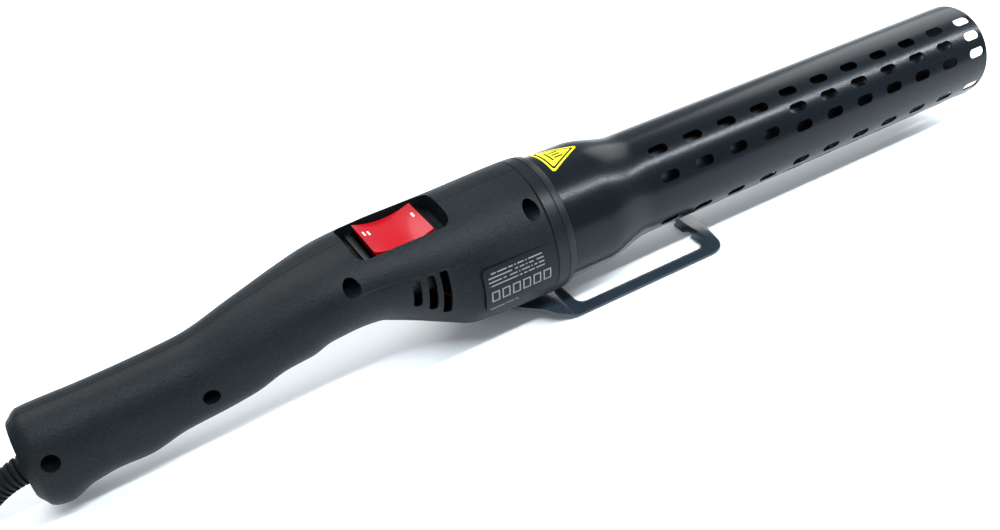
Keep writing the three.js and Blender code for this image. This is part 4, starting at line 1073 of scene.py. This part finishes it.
@dataclass
class Handle:
    """The two moulded shells."""

    finishes: Finishes
    wall: float = 2.4
    sides: int = 112
    pitch: float = 1.6
    split: float = 0.09
    recess: tuple[float, float, float] = (-80, -37.7, 13.7)
    screws: tuple[Point2, ...] = ((-5, 23), (-86, 20), (TAIL + 69.5, -5), (TAIL + 9.5, -4))
    hole: float = 3.4
    vents: tuple[Point3, ...] = ((-61.2, 0, 14.6), (-55, -4.4, 14.6), (-49.4, -8.4, 15))

    def __post_init__(self) -> None:
        """Set the lines that the section follows along the handle."""
        rear = HOUSING_RADIUS - 0.9
        half = 16.3
        neck, tail = -11.5, -33.3
        self.top = Track([
            (0, HOUSING_RADIUS), (-34, rear), (-75, HOUSING_RADIUS - 1.7), (-92, HOUSING_RADIUS - 3.4),
            (-125, 20), (TAIL + 65, 12.5), (TAIL + 30, 10.5), (TAIL + 5, 10), (TAIL, 7)])
        self.bottom = Track([
            (0, -HOUSING_RADIUS), (-34, 0.5 - rear), (-47, -25.1), (-59, -19.5), (-67, -15.3), (-75, neck),
            (-87, neck + 1), (-97, neck + 0.3), (-106, neck - 3), (-116, neck - 3.4),
            (TAIL + 86, tail + 13.4),
            (TAIL + 72, tail + 11), (TAIL + 58, tail + 9.8), (TAIL + 41, tail + 5.5), (TAIL + 31, tail + 6.1),
            (TAIL + 20, tail + 4.7), (TAIL + 9.5, tail), (TAIL + 4, tail + 1.2), (TAIL, tail + 6)])
        self.half = Track([
            (0, HOUSING_RADIUS), (-34, rear), (-47, HOUSING_RADIUS - 3.1), (-67, HOUSING_RADIUS - 6.6),
            (-87, HOUSING_RADIUS - 8.4), (-108, half + 4), (-128, half + 1.8), (TAIL + 65, half),
            (TAIL + 30, half), (TAIL + 9.5, half + 0.8), (TAIL + 4, half), (TAIL, half - 3.5)])
        self.waist = Track([
            (0, 0), (-34, 0.5), (-47, 5), (-67, 11.5), (-87, 12), (-108, 7), (-130, 0), (TAIL + 65, -5),
            (TAIL + 30, -9), (TAIL, -11)])
        self.power = Track([(0, 2), (-34, 2), (-60, 1.75), (-100, 1.85), (-130, 2.2), (TAIL, 2.3)])

    def scoop(self, x: float, z: float) -> float:
        """Return how deep the cheek is let in at a place on the side, in millimetres."""
        along = bump_between(-x, (36, 46), (76, 92))
        crease = 15.5 + 2.0 * ease((-x - 44) / 40)
        below = 1 - ease((z - crease + 1.6) / 1.6)
        above = ease((z + 24) / 14)
        return 1.6 * along * below * above

    def ring(self, x: float, inset: float, sides: int) -> list[Vector]:
        """Return the section at x, drawn in by an inset."""
        top, bottom = self.top(x) - inset, self.bottom(x) + inset
        half, waist, power = self.half(x) - inset, self.waist(x), self.power(x)
        points = []
        for k in range(sides):
            angle = 2 * math.pi * k / sides
            sine, cosine = math.sin(angle), math.cos(angle)
            p = power if sine < 0 else 2.0
            reach = waist - bottom if sine < 0 else top - waist
            y = half * math.copysign(abs(cosine) ** (2 / p), cosine)
            z = waist + reach * math.copysign(abs(sine) ** (2 / p), sine)
            if inset == 0:
                depth = self.scoop(x, z) * ease((abs(y) - 8) / 8)
                y -= math.copysign(depth, y)
            points.append(Vector((x, y, z)))
        return points

    def solid(self, inset: float, sides: int, pitch: float) -> bmesh.types.BMesh:
        """Return the handle's body, or the cavity where there is an inset."""
        front = 0.0 if inset == 0 else 1.5
        rear = TAIL if inset == 0 else TAIL + self.wall + 1
        count = round((front - rear) / pitch)
        stops = [front + (rear - front) * i / count for i in range(count + 1)]
        if inset == 0:
            stops = stops[:-1] + [TAIL + 1.0, TAIL + 0.5, TAIL + 0.2, TAIL]
        rows = []
        for x in stops:
            row = self.ring(min(x, 0), inset, sides)
            near_end = TAIL + 1.0 - x if inset == 0 else 0
            shrink = 1 - (0.055 * (near_end ** 2) if near_end > 0 else 0)
            middle = Vector((x, 0, (self.top(x) + self.bottom(x)) / 2))
            rows.append([Vector((x, p.y * shrink, middle.z + (p.z - middle.z) * shrink)) for p in row])
        return loft(rows)

    def recess_tool(self, grow: float) -> bmesh.types.BMesh:
        """Return the block that sinks the switch's panel."""
        rear, front, half = self.recess
        outline = rounded_rectangle(rear - grow, front + grow, -half - grow, half + grow, 5 + grow, 10)
        return prism(outline, Plane.XY, PANEL - grow, HOUSING_RADIUS + 6)

    def screw_hole(self, x: float, z: float) -> bmesh.types.BMesh:
        """Return the stepped cutter of one screw hole."""
        outside, seat, shank, end = -60.0, -6.0, 1.7, 0.5
        profile = [(outside, 0), (outside, self.hole), (seat, self.hole), (seat, shank),
                   (end, shank), (end, 0)]
        return lathe(profile, 48, (0, 1, 0), (x, 0, z), closed=False)

    def vent_tool(self, sign: int) -> bmesh.types.BMesh:
        """Return the cutters of the three air slots on one side."""
        half, corner = 1.7, 1.69
        low_y, high_y = (-60, -14) if sign < 0 else (14, 60)
        outlines = [rounded_rectangle(x - half, x + half, low, high, corner, 8)
                    for x, low, high in self.vents]
        return merged([prism(outline, Plane.XZ, low_y, high_y) for outline in outlines])

    def shell(self) -> bmesh.types.BMesh:
        """Return both halves as one hollow body."""
        flat = block(TAIL + 180, 5, -HOUSING_RADIUS, HOUSING_RADIUS, -40, -(HOUSING_RADIUS - 0.6))
        body = combined(self.solid(0, self.sides, self.pitch), merged([self.recess_tool(0), flat]))
        cavity = combined(self.solid(self.wall, 64, 4.0), self.recess_tool(self.wall))
        bosses = merged(rod(self.hole + 1.3, -60, 60, (0, 1, 0), (x, 0, z), 28) for x, z in self.screws)
        cavity = combined(cavity, bosses)
        shell = combined(body, cavity)
        half = 14.3
        opening = block(SWITCH_CENTRE - half, SWITCH_CENTRE + half, -13.2, 13.2, PANEL - 10, PANEL + 1)
        exit_hole = rod(6.15, TAIL - 5, TAIL + 9, (1, 0, 0), (0, 0, -14.5), 40)
        holes = [self.screw_hole(x, z) for x, z in self.screws]
        tools = merged([opening, exit_hole, *holes, self.vent_tool(-1), self.vent_tool(1)])
        return combined(shell, tools)

    def build(self) -> None:
        """Make both shells and the screws in them."""
        whole = self.shell()
        for side in Side:
            sign, name = side.value
            low, high = (-self.split, 90) if sign < 0 else (-90, self.split)
            half = combined(whole.copy(), block(TAIL - 20, 20, low, high, -90, 90))
            bmesh.ops.remove_doubles(half, verts=half.verts, dist=1e-4)
            Piece(f"shell_{name}", self.finishes.handle, "handlePlastic",
                  replaces=(f"housing_{name}",), smooth=28).make(half)
        whole.free()
        for i, (x, z) in enumerate(self.screws):
            self.screw(i + 1, x, z)

    def screw(self, number: int, x: float, z: float) -> None:
        """Make one housing screw with a domed, cross-slotted head."""
        head = lathe([(-8.7, 0), (-8.6, 1.2), (-8.2, 2.2), (-7.6, 2.7), (-6.6, 2.7), (-6.4, 2.5), (-6.4, 1.4),
                      (10.2, 1.4), (11, 0.6), (11, 0)], 28, (0, 1, 0), (x, 0, z), closed=False)
        arms = [block(x - a, x + a, -10, -7.5, z - b, z + b) for a, b in ((1.7, 0.35), (0.35, 1.7))]
        cross = combined(arms[0], arms[1], "UNION")
        Piece(f"shell_screw_{number}", self.finishes.steel, "brightSteel",
              replaces=(f"housing_screw_{number}",)).make(combined(head, cross))


# ----------------------------------------------------------------------------------------------------------
# Barrel
# ----------------------------------------------------------------------------------------------------------


@dataclass
class Barrel:
    """Front ring, slotted tube, inner tube and heating element's outer parts."""

    finishes: Finishes
    wall: float = 0.8
    neck_end: float = 31.0
    taper: float = 26.0
    start: float = 3.5
    rings: int = 11
    pitch: float = 19.45
    from_mouth: float = 7.2
    slot: Point2 = (10.0, 4.6)
    groups: tuple[float, ...] = (28, 135, 225, 315)

    def line(self, inset: float) -> list[Point2]:
        """Return the tube's outline from neck to mouth, drawn in by an inset."""
        points = [(self.start + 6.9 * k, NECK_RADIUS - inset) for k in range(4)]
        for i in range(21):
            share = i / 20
            points.append((self.neck_end + self.taper * share, NECK_RADIUS - 4.7 * ease(share) - inset))
        count = 22
        first = self.neck_end + self.taper
        for i in range(1, count):
            points.append((first + (TUBE_MOUTH - 1.2 - first) * i / count, TUBE_RADIUS - inset))
        return points

    def tube(self) -> None:
        """Make the slotted tube with its rounded mouth."""
        mouth = TUBE_MOUTH - 0.4
        rim = [(mouth - 0.4, TUBE_RADIUS), (mouth, TUBE_RADIUS - 0.03), (mouth + 0.28, TUBE_RADIUS - 0.14),
               (TUBE_MOUTH, TUBE_RADIUS - 0.4), (mouth + 0.28, TUBE_RADIUS - 0.66),
               (mouth, TUBE_RADIUS - 0.77), (mouth - 0.4, TUBE_RADIUS - self.wall)]
        start, bore = self.start, 20.5
        outer = [(start, bore), (start, NECK_RADIUS - 0.6), (start + 0.4, NECK_RADIUS)] + self.line(0)[1:]
        flange = start + self.wall
        inner = self.line(self.wall)[:0:-1] + [(flange, NECK_RADIUS - self.wall), (flange, bore)]
        tube = lathe(outer + rim + inner, 144)
        Piece("slotted_tube", self.finishes.barrel, "blackSteel", replaces=("barrel_tube",),
              smooth=30).make(combined(tube, self.slots()))

    def slots(self) -> bmesh.types.BMesh:
        """Return the cutters of every slot."""
        length, width = self.slot
        outline = rounded_rectangle(-length / 2, length / 2, -width / 2, width / 2, width / 2 - 0.01, 7)
        tools = []
        for ring in range(self.rings):
            x = TUBE_MOUTH - self.from_mouth - (self.rings - 1 - ring) * self.pitch
            spread = (-15.6, 15.6) if ring < 4 else (-22, 0, 22)
            for group in self.groups:
                for offset in spread:
                    tool = prism(outline, Plane.XY, TUBE_RADIUS - 4, TUBE_RADIUS + 4)
                    turn = Matrix.Rotation(math.radians(group + offset - 90), 4, "X")
                    tool.transform(turn @ Matrix.Translation((x, 0, 0)))
                    tools.append(tool)
        return merged(tools)

    def ring(self) -> None:
        """Make the front ring with its fine steps."""
        outer, bore = HOUSING_RADIUS, NECK_RADIUS + 0.25
        profile = [(0.3, 20.5), (0.3, outer - 0.5), (0.8, outer), (5.2, outer), (5.5, outer - 0.45),
                   (6.1, outer - 0.45), (6.4, outer - 0.15), (9.0, outer - 0.55), (9.7, outer - 0.8),
                   (10.0, outer - 1.2), (10.0, bore + 0.3), (9.7, bore), (2.3, bore), (2.3, 20.5)]
        Piece("neck_ring", self.finishes.ring, "handlePlastic",
              replaces=("front_ring",)).make(lathe(profile, 144))

    def inner(self) -> None:
        """Make the inner tube and its flange."""
        radius = TUBE_RADIUS - self.wall - 4.7
        wall, start = 0.6, 4.9
        mouth = TUBE_MOUTH - 15
        profile = [(start, radius - wall), (start, 26.2), (start + wall, 26.2), (start + wall, radius),
                   (mouth - 0.2, radius), (mouth, radius - 0.2), (mouth, radius - wall)]
        # The inner tube takes the steel darkened as painted shade.
        Piece("air_tube", self.finishes.shade_darkened_steel, "brightSteel",
              replaces=("inner_tube",)).make(lathe(profile, 96))
        liner = radius - wall - 0.3
        sheet = [(28, liner - 0.5), (28, liner), (158, liner), (158, liner - 0.5)]
        Piece("mica_wrap", self.finishes.mica, "mica", replaces=("mica_liner",)).make(lathe(sheet, 96))

    def coil(self) -> None:
        """Make the resistance wire: a fine crimped helix round the boards."""
        turns, radius, amplitude = 11, 16.2, 0.22
        first, length = 38.2, 109.6
        curve = bpy.data.curves.new("resistance_coil", "CURVE")
        curve.dimensions = "3D"
        curve.bevel_depth = 0.42 * MM
        curve.bevel_resolution = 1
        spline = curve.splines.new("POLY")
        count = turns * 96
        spline.points.add(count)
        for i, target in enumerate(spline.points):
            share = i / count
            angle = 2 * math.pi * turns * share
            reach = radius + amplitude * math.sin(angle * 16)
            place = TO_FRAME @ Vector((first + length * share,
                                       reach * math.cos(angle), reach * math.sin(angle)))
            target.co = (*place, 1)
        curve.materials.append(self.finishes.wire)
        thing = bpy.data.objects.new("resistance_coil", curve)
        bpy.context.scene.collection.objects.link(thing)
        Piece("resistance_coil", self.finishes.wire, "nichrome", replaces=("heating_coil",)).register(thing)

    def build(self) -> None:
        """Make the barrel's pieces."""
        self.tube()
        self.ring()
        self.inner()
        self.coil()


# ----------------------------------------------------------------------------------------------------------
# Switch
# ----------------------------------------------------------------------------------------------------------


@dataclass
class Switch:
    """Bezel, rocker and the rocker's marks."""

    finishes: Finishes
    length: float = 26.6
    width: float = 23.2
    rise: float = 3.9
    dish: float = 2.7

    def top_line(self, along: float) -> float:
        """Return the rocker's height at a distance from its middle."""
        share = along / self.length + 0.5
        return BEZEL_TOP + self.rise - 4 * self.dish * share * (1 - share)

    def bezel(self) -> None:
        """Make the frame round the rocker."""
        base = PANEL + 0.25
        plan = rounded_rectangle(SWITCH_CENTRE - 17, SWITCH_CENTRE + 17, -13.3, 13.3, 1.8, 6)
        opening = rounded_rectangle(SWITCH_CENTRE - 14.4, SWITCH_CENTRE + 14.4, -11.9, 11.9, 0.6, 3)
        frame_body = combined(prism(plan, Plane.XY, base, base + 2),
                              prism(opening, Plane.XY, base - 1, base + 4))
        bmesh.ops.dissolve_limit(frame_body, angle_limit=0.01, verts=frame_body.verts, edges=frame_body.edges)
        rim = [e for e in frame_body.edges if all(v.co.z > base + 1.9 for v in e.verts)]
        bmesh.ops.bevel(frame_body, geom=rim, offset=0.45, segments=3, affect="EDGES", profile=0.5,
                        material=-1, clamp_overlap=True)
        Piece("rocker_bezel", self.finishes.dark, "blackPlastic", replaces=("switch_bezel",)).make(frame_body)

    def rocker(self) -> None:
        """Make the dished rocker."""
        half, side = self.length / 2, self.width / 2
        steps = 30
        top = [(SWITCH_CENTRE + half - self.length * i / steps, self.top_line(half - self.length * i / steps))
               for i in range(steps + 1)]
        below = [(-half + 1, BEZEL_TOP + 0.3), (-half + 2.6, PIVOT), (-4, PIVOT - 3), (4, PIVOT - 3),
                 (half - 2.6, PIVOT), (half - 1, BEZEL_TOP + 0.3)]
        outline = top + [(SWITCH_CENTRE + x, z) for x, z in below]
        body = prism(outline, Plane.XZ, -side, side)
        upper = [e for e in body.edges if e.calc_face_angle(0) > math.radians(35)
                 and all(v.co.z > BEZEL_TOP for v in e.verts)]
        bmesh.ops.bevel(body, geom=upper, offset=0.9, segments=4, affect="EDGES", profile=0.5, material=-1,
                        clamp_overlap=True)
        body = combined(body, rod(1.5, -side - 1, side + 1, (0, 1, 0), (SWITCH_CENTRE, 0, PIVOT), 32))
        Piece("rocker_button", self.finishes.red, "redPlastic", ROCKER, ("rocker",), smooth=40).make(body)

    def mark(self, low: float, high: float, half: float) -> bmesh.types.BMesh:
        """Return a bar let into the rocker's top, from low to high along it."""
        steps = 6
        xs = [low + (high - low) * i / steps for i in range(steps + 1)]
        upper = [(SWITCH_CENTRE + x, self.top_line(x) + 0.03) for x in xs]
        lower = [(SWITCH_CENTRE + x, self.top_line(x) - 0.25) for x in reversed(xs)]
        return prism(upper + lower, Plane.XZ, -half, half)

    def marks(self) -> None:
        """Make the plain bar and double bar that show the two speeds."""
        bars = [self.mark(low, low + 0.8, 1.5) for low in (10.6, -11.4, -9.4)]
        for bar in bars:
            bmesh.ops.translate(bar, verts=bar.verts, vec=(0, 3.5, 0))
        Piece("rocker_marks", self.finishes.white, "redPlastic", ROCKER).make(merged(bars))

    def build(self) -> None:
        """Make the switch's visible pieces."""
        self.bezel()
        self.rocker()
        self.marks()


# ----------------------------------------------------------------------------------------------------------
# Stand
# ----------------------------------------------------------------------------------------------------------


@dataclass
class Stand:
    """The bent sheet loop under the front of the handle, and its screws."""

    finishes: Finishes
    sheet: float = 1.5
    flat: float = -(HOUSING_RADIUS - 0.6)
    tab_rear: float = -35.0
    tab_half: float = 7.5
    bend: Point2 = (-2.0, 11.0)
    front: float = 99.5
    half: float = 26.5
    bar: float = 6.5
    front_bar: float = 11.5
    screw_at: float = -28.5
    screw_offset: float = 3.5

    def side(self) -> list[Point2]:
        """Return the sheet's side view, with rounded bends."""
        top = self.flat - 0.3
        start, end = self.bend
        low = FLOOR + self.sheet
        upper = [(self.tab_rear, top),
                 *quadratic((start - 2.2, top), (start, top), (start + 1.9, top - 1.1), 6),
                 *quadratic((end - 1.9, low + 1.1), (end, low), (end + 2.2, low), 6), (self.front + 10, low)]
        lower = [(self.front + 10, FLOOR),
                 *quadratic((end + 1.8, FLOOR), (end - 0.4, FLOOR), (end - 2.3, FLOOR + 1.1), 6),
                 *quadratic((start + 1.5, top - self.sheet - 1.1), (start - 0.4, top - self.sheet),
                            (start - 2.6, top - self.sheet), 6), (self.tab_rear, top - self.sheet)]
        return upper + lower

    def plan(self) -> list[Point2]:
        """Return the sheet's outline from above."""
        corner, bow, end = 9.0, 3.5, self.bend[1]
        start = self.bend[0]
        flare = self.half - 2.5
        edge = self.front - bow
        side = [
            *quadratic((self.tab_rear, 3 - self.tab_half), (self.tab_rear, -self.tab_half),
                       (self.tab_rear + 3, -self.tab_half), 6),
            *quadratic((-19, -self.tab_half), (-17, -self.tab_half), (-15.4, -self.tab_half - 1.4), 5),
            *quadratic((start + 2.5, -flare), (start + 6, -self.half), (end + 2, -self.half), 8),
            *quadratic((edge - corner, -self.half), (edge, -self.half), (edge + 1, -self.half + corner), 12),
            *quadratic((edge + 1, -self.half + corner), (self.front, -6), (self.front, 0), 12)[1:],
        ]
        return side + [(x, -y) for x, y in reversed(side[:-1])]

    def body(self) -> None:
        """Make the sheet."""
        sheet = prism(self.side(), Plane.XZ, -self.half - 5, self.half + 5)
        blank = combined(sheet, prism(self.plan(), Plane.XY, FLOOR - 5, -20), "INTERSECT")
        inner = self.half - self.bar
        edge = self.front - self.front_bar
        window = rounded_rectangle(self.bend[1] + 5.1, edge, -inner, inner, 4, 8)
        blank = combined(blank, prism(window, Plane.XY, FLOOR - 5, -33))
        notches = [rod(3, FLOOR - 5, FLOOR + 5, (0, 0, 1), (edge, y, 0), 32) for y in (-6.5, 6.5)]
        holes = [rod(1.7, -40, -25, (0, 0, 1), (self.screw_at, y, 0), 20)
                 for y in (-self.screw_offset, self.screw_offset)]
        blank = combined(blank, merged(notches + holes))
        bmesh.ops.remove_doubles(blank, verts=blank.verts, dist=1e-4)
        bmesh.ops.dissolve_limit(blank, angle_limit=0.012, verts=blank.verts, edges=blank.edges)
        softened(blank, 0.22, 2, 50)
        Piece("sheet_stand", self.finishes.stand, "standSteel", replaces=("stand",), smooth=35).make(blank)

    def screws(self) -> None:
        """Make the two pan-head screws."""
        seat = self.flat - self.sheet - 0.6
        for name, y in (("right", -self.screw_offset), ("left", self.screw_offset)):
            at = (self.screw_at, y, 0)
            head = lathe([(seat - 1.9, 0), (seat - 1.85, 1.0), (seat - 1.5, 2.0), (seat - 0.9, 2.6),
                          (seat, 2.65), (seat, 1.4),
                          (self.flat + 5.6, 1.4), (self.flat + 6, 1.0), (self.flat + 6, 0)], 28,
                         (0, 0, 1), at, closed=False)
            x = self.screw_at
            arms = [block(x - a, x + a, y - b, y + b, seat - 3, seat - 0.9)
                    for a, b in ((1.6, 0.33), (0.33, 1.6))]
            cross = combined(arms[0], arms[1], "UNION")
            Piece(f"sheet_stand_screw_{name}", self.finishes.steel, "brightSteel",
                  replaces=(f"stand_screw_{name}",)).make(combined(head, cross))

    def build(self) -> None:
        """Make the stand."""
        self.body()
        self.screws()


# ----------------------------------------------------------------------------------------------------------
# Labels
# ----------------------------------------------------------------------------------------------------------


@dataclass
class Labels:
    """The triangular heat sticker on the neck and the rating plate on the handle's right side."""

    finishes: Finishes
    side: float = 22.0
    base: float = 14.3
    angle: float = 85.0
    thickness: float = 0.14
    lift: float = 0.12
    layer: float = 0.03

    def rolled(self, bm: bmesh.types.BMesh, radius: float, centre: float, sign: int) -> bmesh.types.BMesh:
        """Wrap a flat label, drawn in x and y, round the barrel axis and give it its thickness.

        Args:
            bm: the flat label.
            radius: the radius that it lies at.
            centre: the angle of its y = 0 line, in degrees from the level.
            sign: 1 where the angle is counted from the left, -1 from the right.

        Returns:
            The wrapped label.
        """
        reach = max(abs(v.co.y) for v in bm.verts)
        cuts = math.ceil(2 * reach)
        for i in range(1, cuts):
            where = -reach + 2 * reach * i / cuts
            bmesh.ops.bisect_plane(bm, geom=bm.verts[:] + bm.edges[:] + bm.faces[:], plane_co=(0, where, 0),
                                   plane_no=(0, 1, 0), dist=1e-5)
        for vert in bm.verts:
            turn = math.radians(centre) + vert.co.y / radius
            lift = radius + vert.co.z
            vert.co = (vert.co.x, sign * lift * math.cos(turn), lift * math.sin(turn))
        bmesh.ops.recalc_face_normals(bm, faces=bm.faces)
        outward = Vector((0, sign * math.cos(math.radians(centre)), math.sin(math.radians(centre))))
        if sum(f.normal.dot(outward) for f in bm.faces) < 0:
            bmesh.ops.reverse_faces(bm, faces=bm.faces)
        return bm

    def sticker(self) -> None:
        """Make the sticker: stacked films that show a yellow triangle, a black border and plain strokes."""
        height = self.side * math.sqrt(3) / 2
        middle = self.base + height / 3
        layers = (("heat_sticker", self.finishes.yellow, "yellowFilm", ("warning_sticker",), 0.0),
                  ("heat_sticker_border", self.finishes.black, "darkFilm", (), 0.9),
                  ("heat_sticker_field", self.finishes.yellow, "yellowFilm", (), 1.8))
        for i, (name, finish, slot, replaces, inset) in enumerate(layers):
            film = self.rolled(self.triangle(inset), NECK_RADIUS + self.lift + self.layer * i, self.angle, 1)
            Piece(name, finish, slot, replaces=replaces).make(self.thickened(film))
        strokes = bmesh.new()
        for offset in (-2.3, 0.0, 2.3):
            self.stroke(strokes, middle - 0.8, middle + 3.4, offset, 0.55)
        self.stroke(strokes, middle - 2.6, middle - 1.7, 0, 4.0)
        self.rolled(strokes, NECK_RADIUS + self.lift + self.layer * len(layers), self.angle, 1)
        Piece("heat_sticker_print", self.finishes.black, "darkFilm").make(self.thickened(strokes))

    def triangle(self, inset: float) -> bmesh.types.BMesh:
        """Return the sticker's triangle with rounded corners, drawn in evenly by an inset."""
        half = self.side / 2 - inset * math.sqrt(3)
        front = self.base + self.side * math.sqrt(3) / 2 - 2 * inset
        bm = bmesh.new()
        bm.faces.new([bm.verts.new((x, y, 0)) for x, y in
                      ((self.base + inset, -half), (front, 0), (self.base + inset, half))])
        bmesh.ops.bevel(bm, geom=bm.verts[:], offset=2.2 - inset * 0.6, segments=6, affect="VERTICES",
                        profile=0.5, material=-1)
        return bm

    def stroke(self, bm: bmesh.types.BMesh, x0: float, x1: float, y: float, half: float) -> None:
        """Add one flat stroke."""
        bm.faces.new([bm.verts.new((a, b, 0)) for a, b in
                      ((x0, y - half), (x1, y - half), (x1, y + half), (x0, y + half))])

    def thickened(self, bm: bmesh.types.BMesh) -> bmesh.types.BMesh:
        """Give a wrapped label its thickness."""
        bmesh.ops.solidify(bm, geom=bm.faces[:], thickness=self.thickness)
        return bm

    def plate(self) -> None:
        """Make the rating plate."""
        length, low, high = 34.0, -24.0, 20.0
        radius = HOUSING_RADIUS + 0.2
        reach = math.radians(high - low) * radius / 2
        margin = 1.2
        rear = -margin - length
        outline = rounded_rectangle(rear, -margin, -reach, reach, 2.2, 6)
        bm = bmesh.new()
        bm.faces.new([bm.verts.new((x, y, 0)) for x, y in outline])
        layer = bm.loops.layers.uv.new("label")
        bm.faces.ensure_lookup_table()
        for loop in bm.faces[0].loops:
            along, across = loop.vert.co.x - rear, loop.vert.co.y + reach
            loop[layer].uv = (along / length, across / (2 * reach))
        self.rolled(bm, radius, (low + high) / 2, -1)
        Piece("rating_film", self.finishes.plate, "darkFilm",
              replaces=("rating_plate",)).make(self.thickened(bm))

    def build(self) -> None:
        """Make both labels."""
        self.sticker()
        self.plate()


def main() -> None:
    """Build the scene."""
    logging.basicConfig(level=logging.INFO, format="%(name)s: %(message)s")
    finishes = Finishes()
    studio = Studio()
    studio.camera()
    MainsLead(finishes).build()
    finishes.dress_frame()
    for assembly in (Handle(finishes), Barrel(finishes), Switch(finishes), Stand(finishes), Labels(finishes)):
        assembly.build()
    studio.stage()
    bpy.context.view_layer.update()


if __name__ == "__main__":
    main()
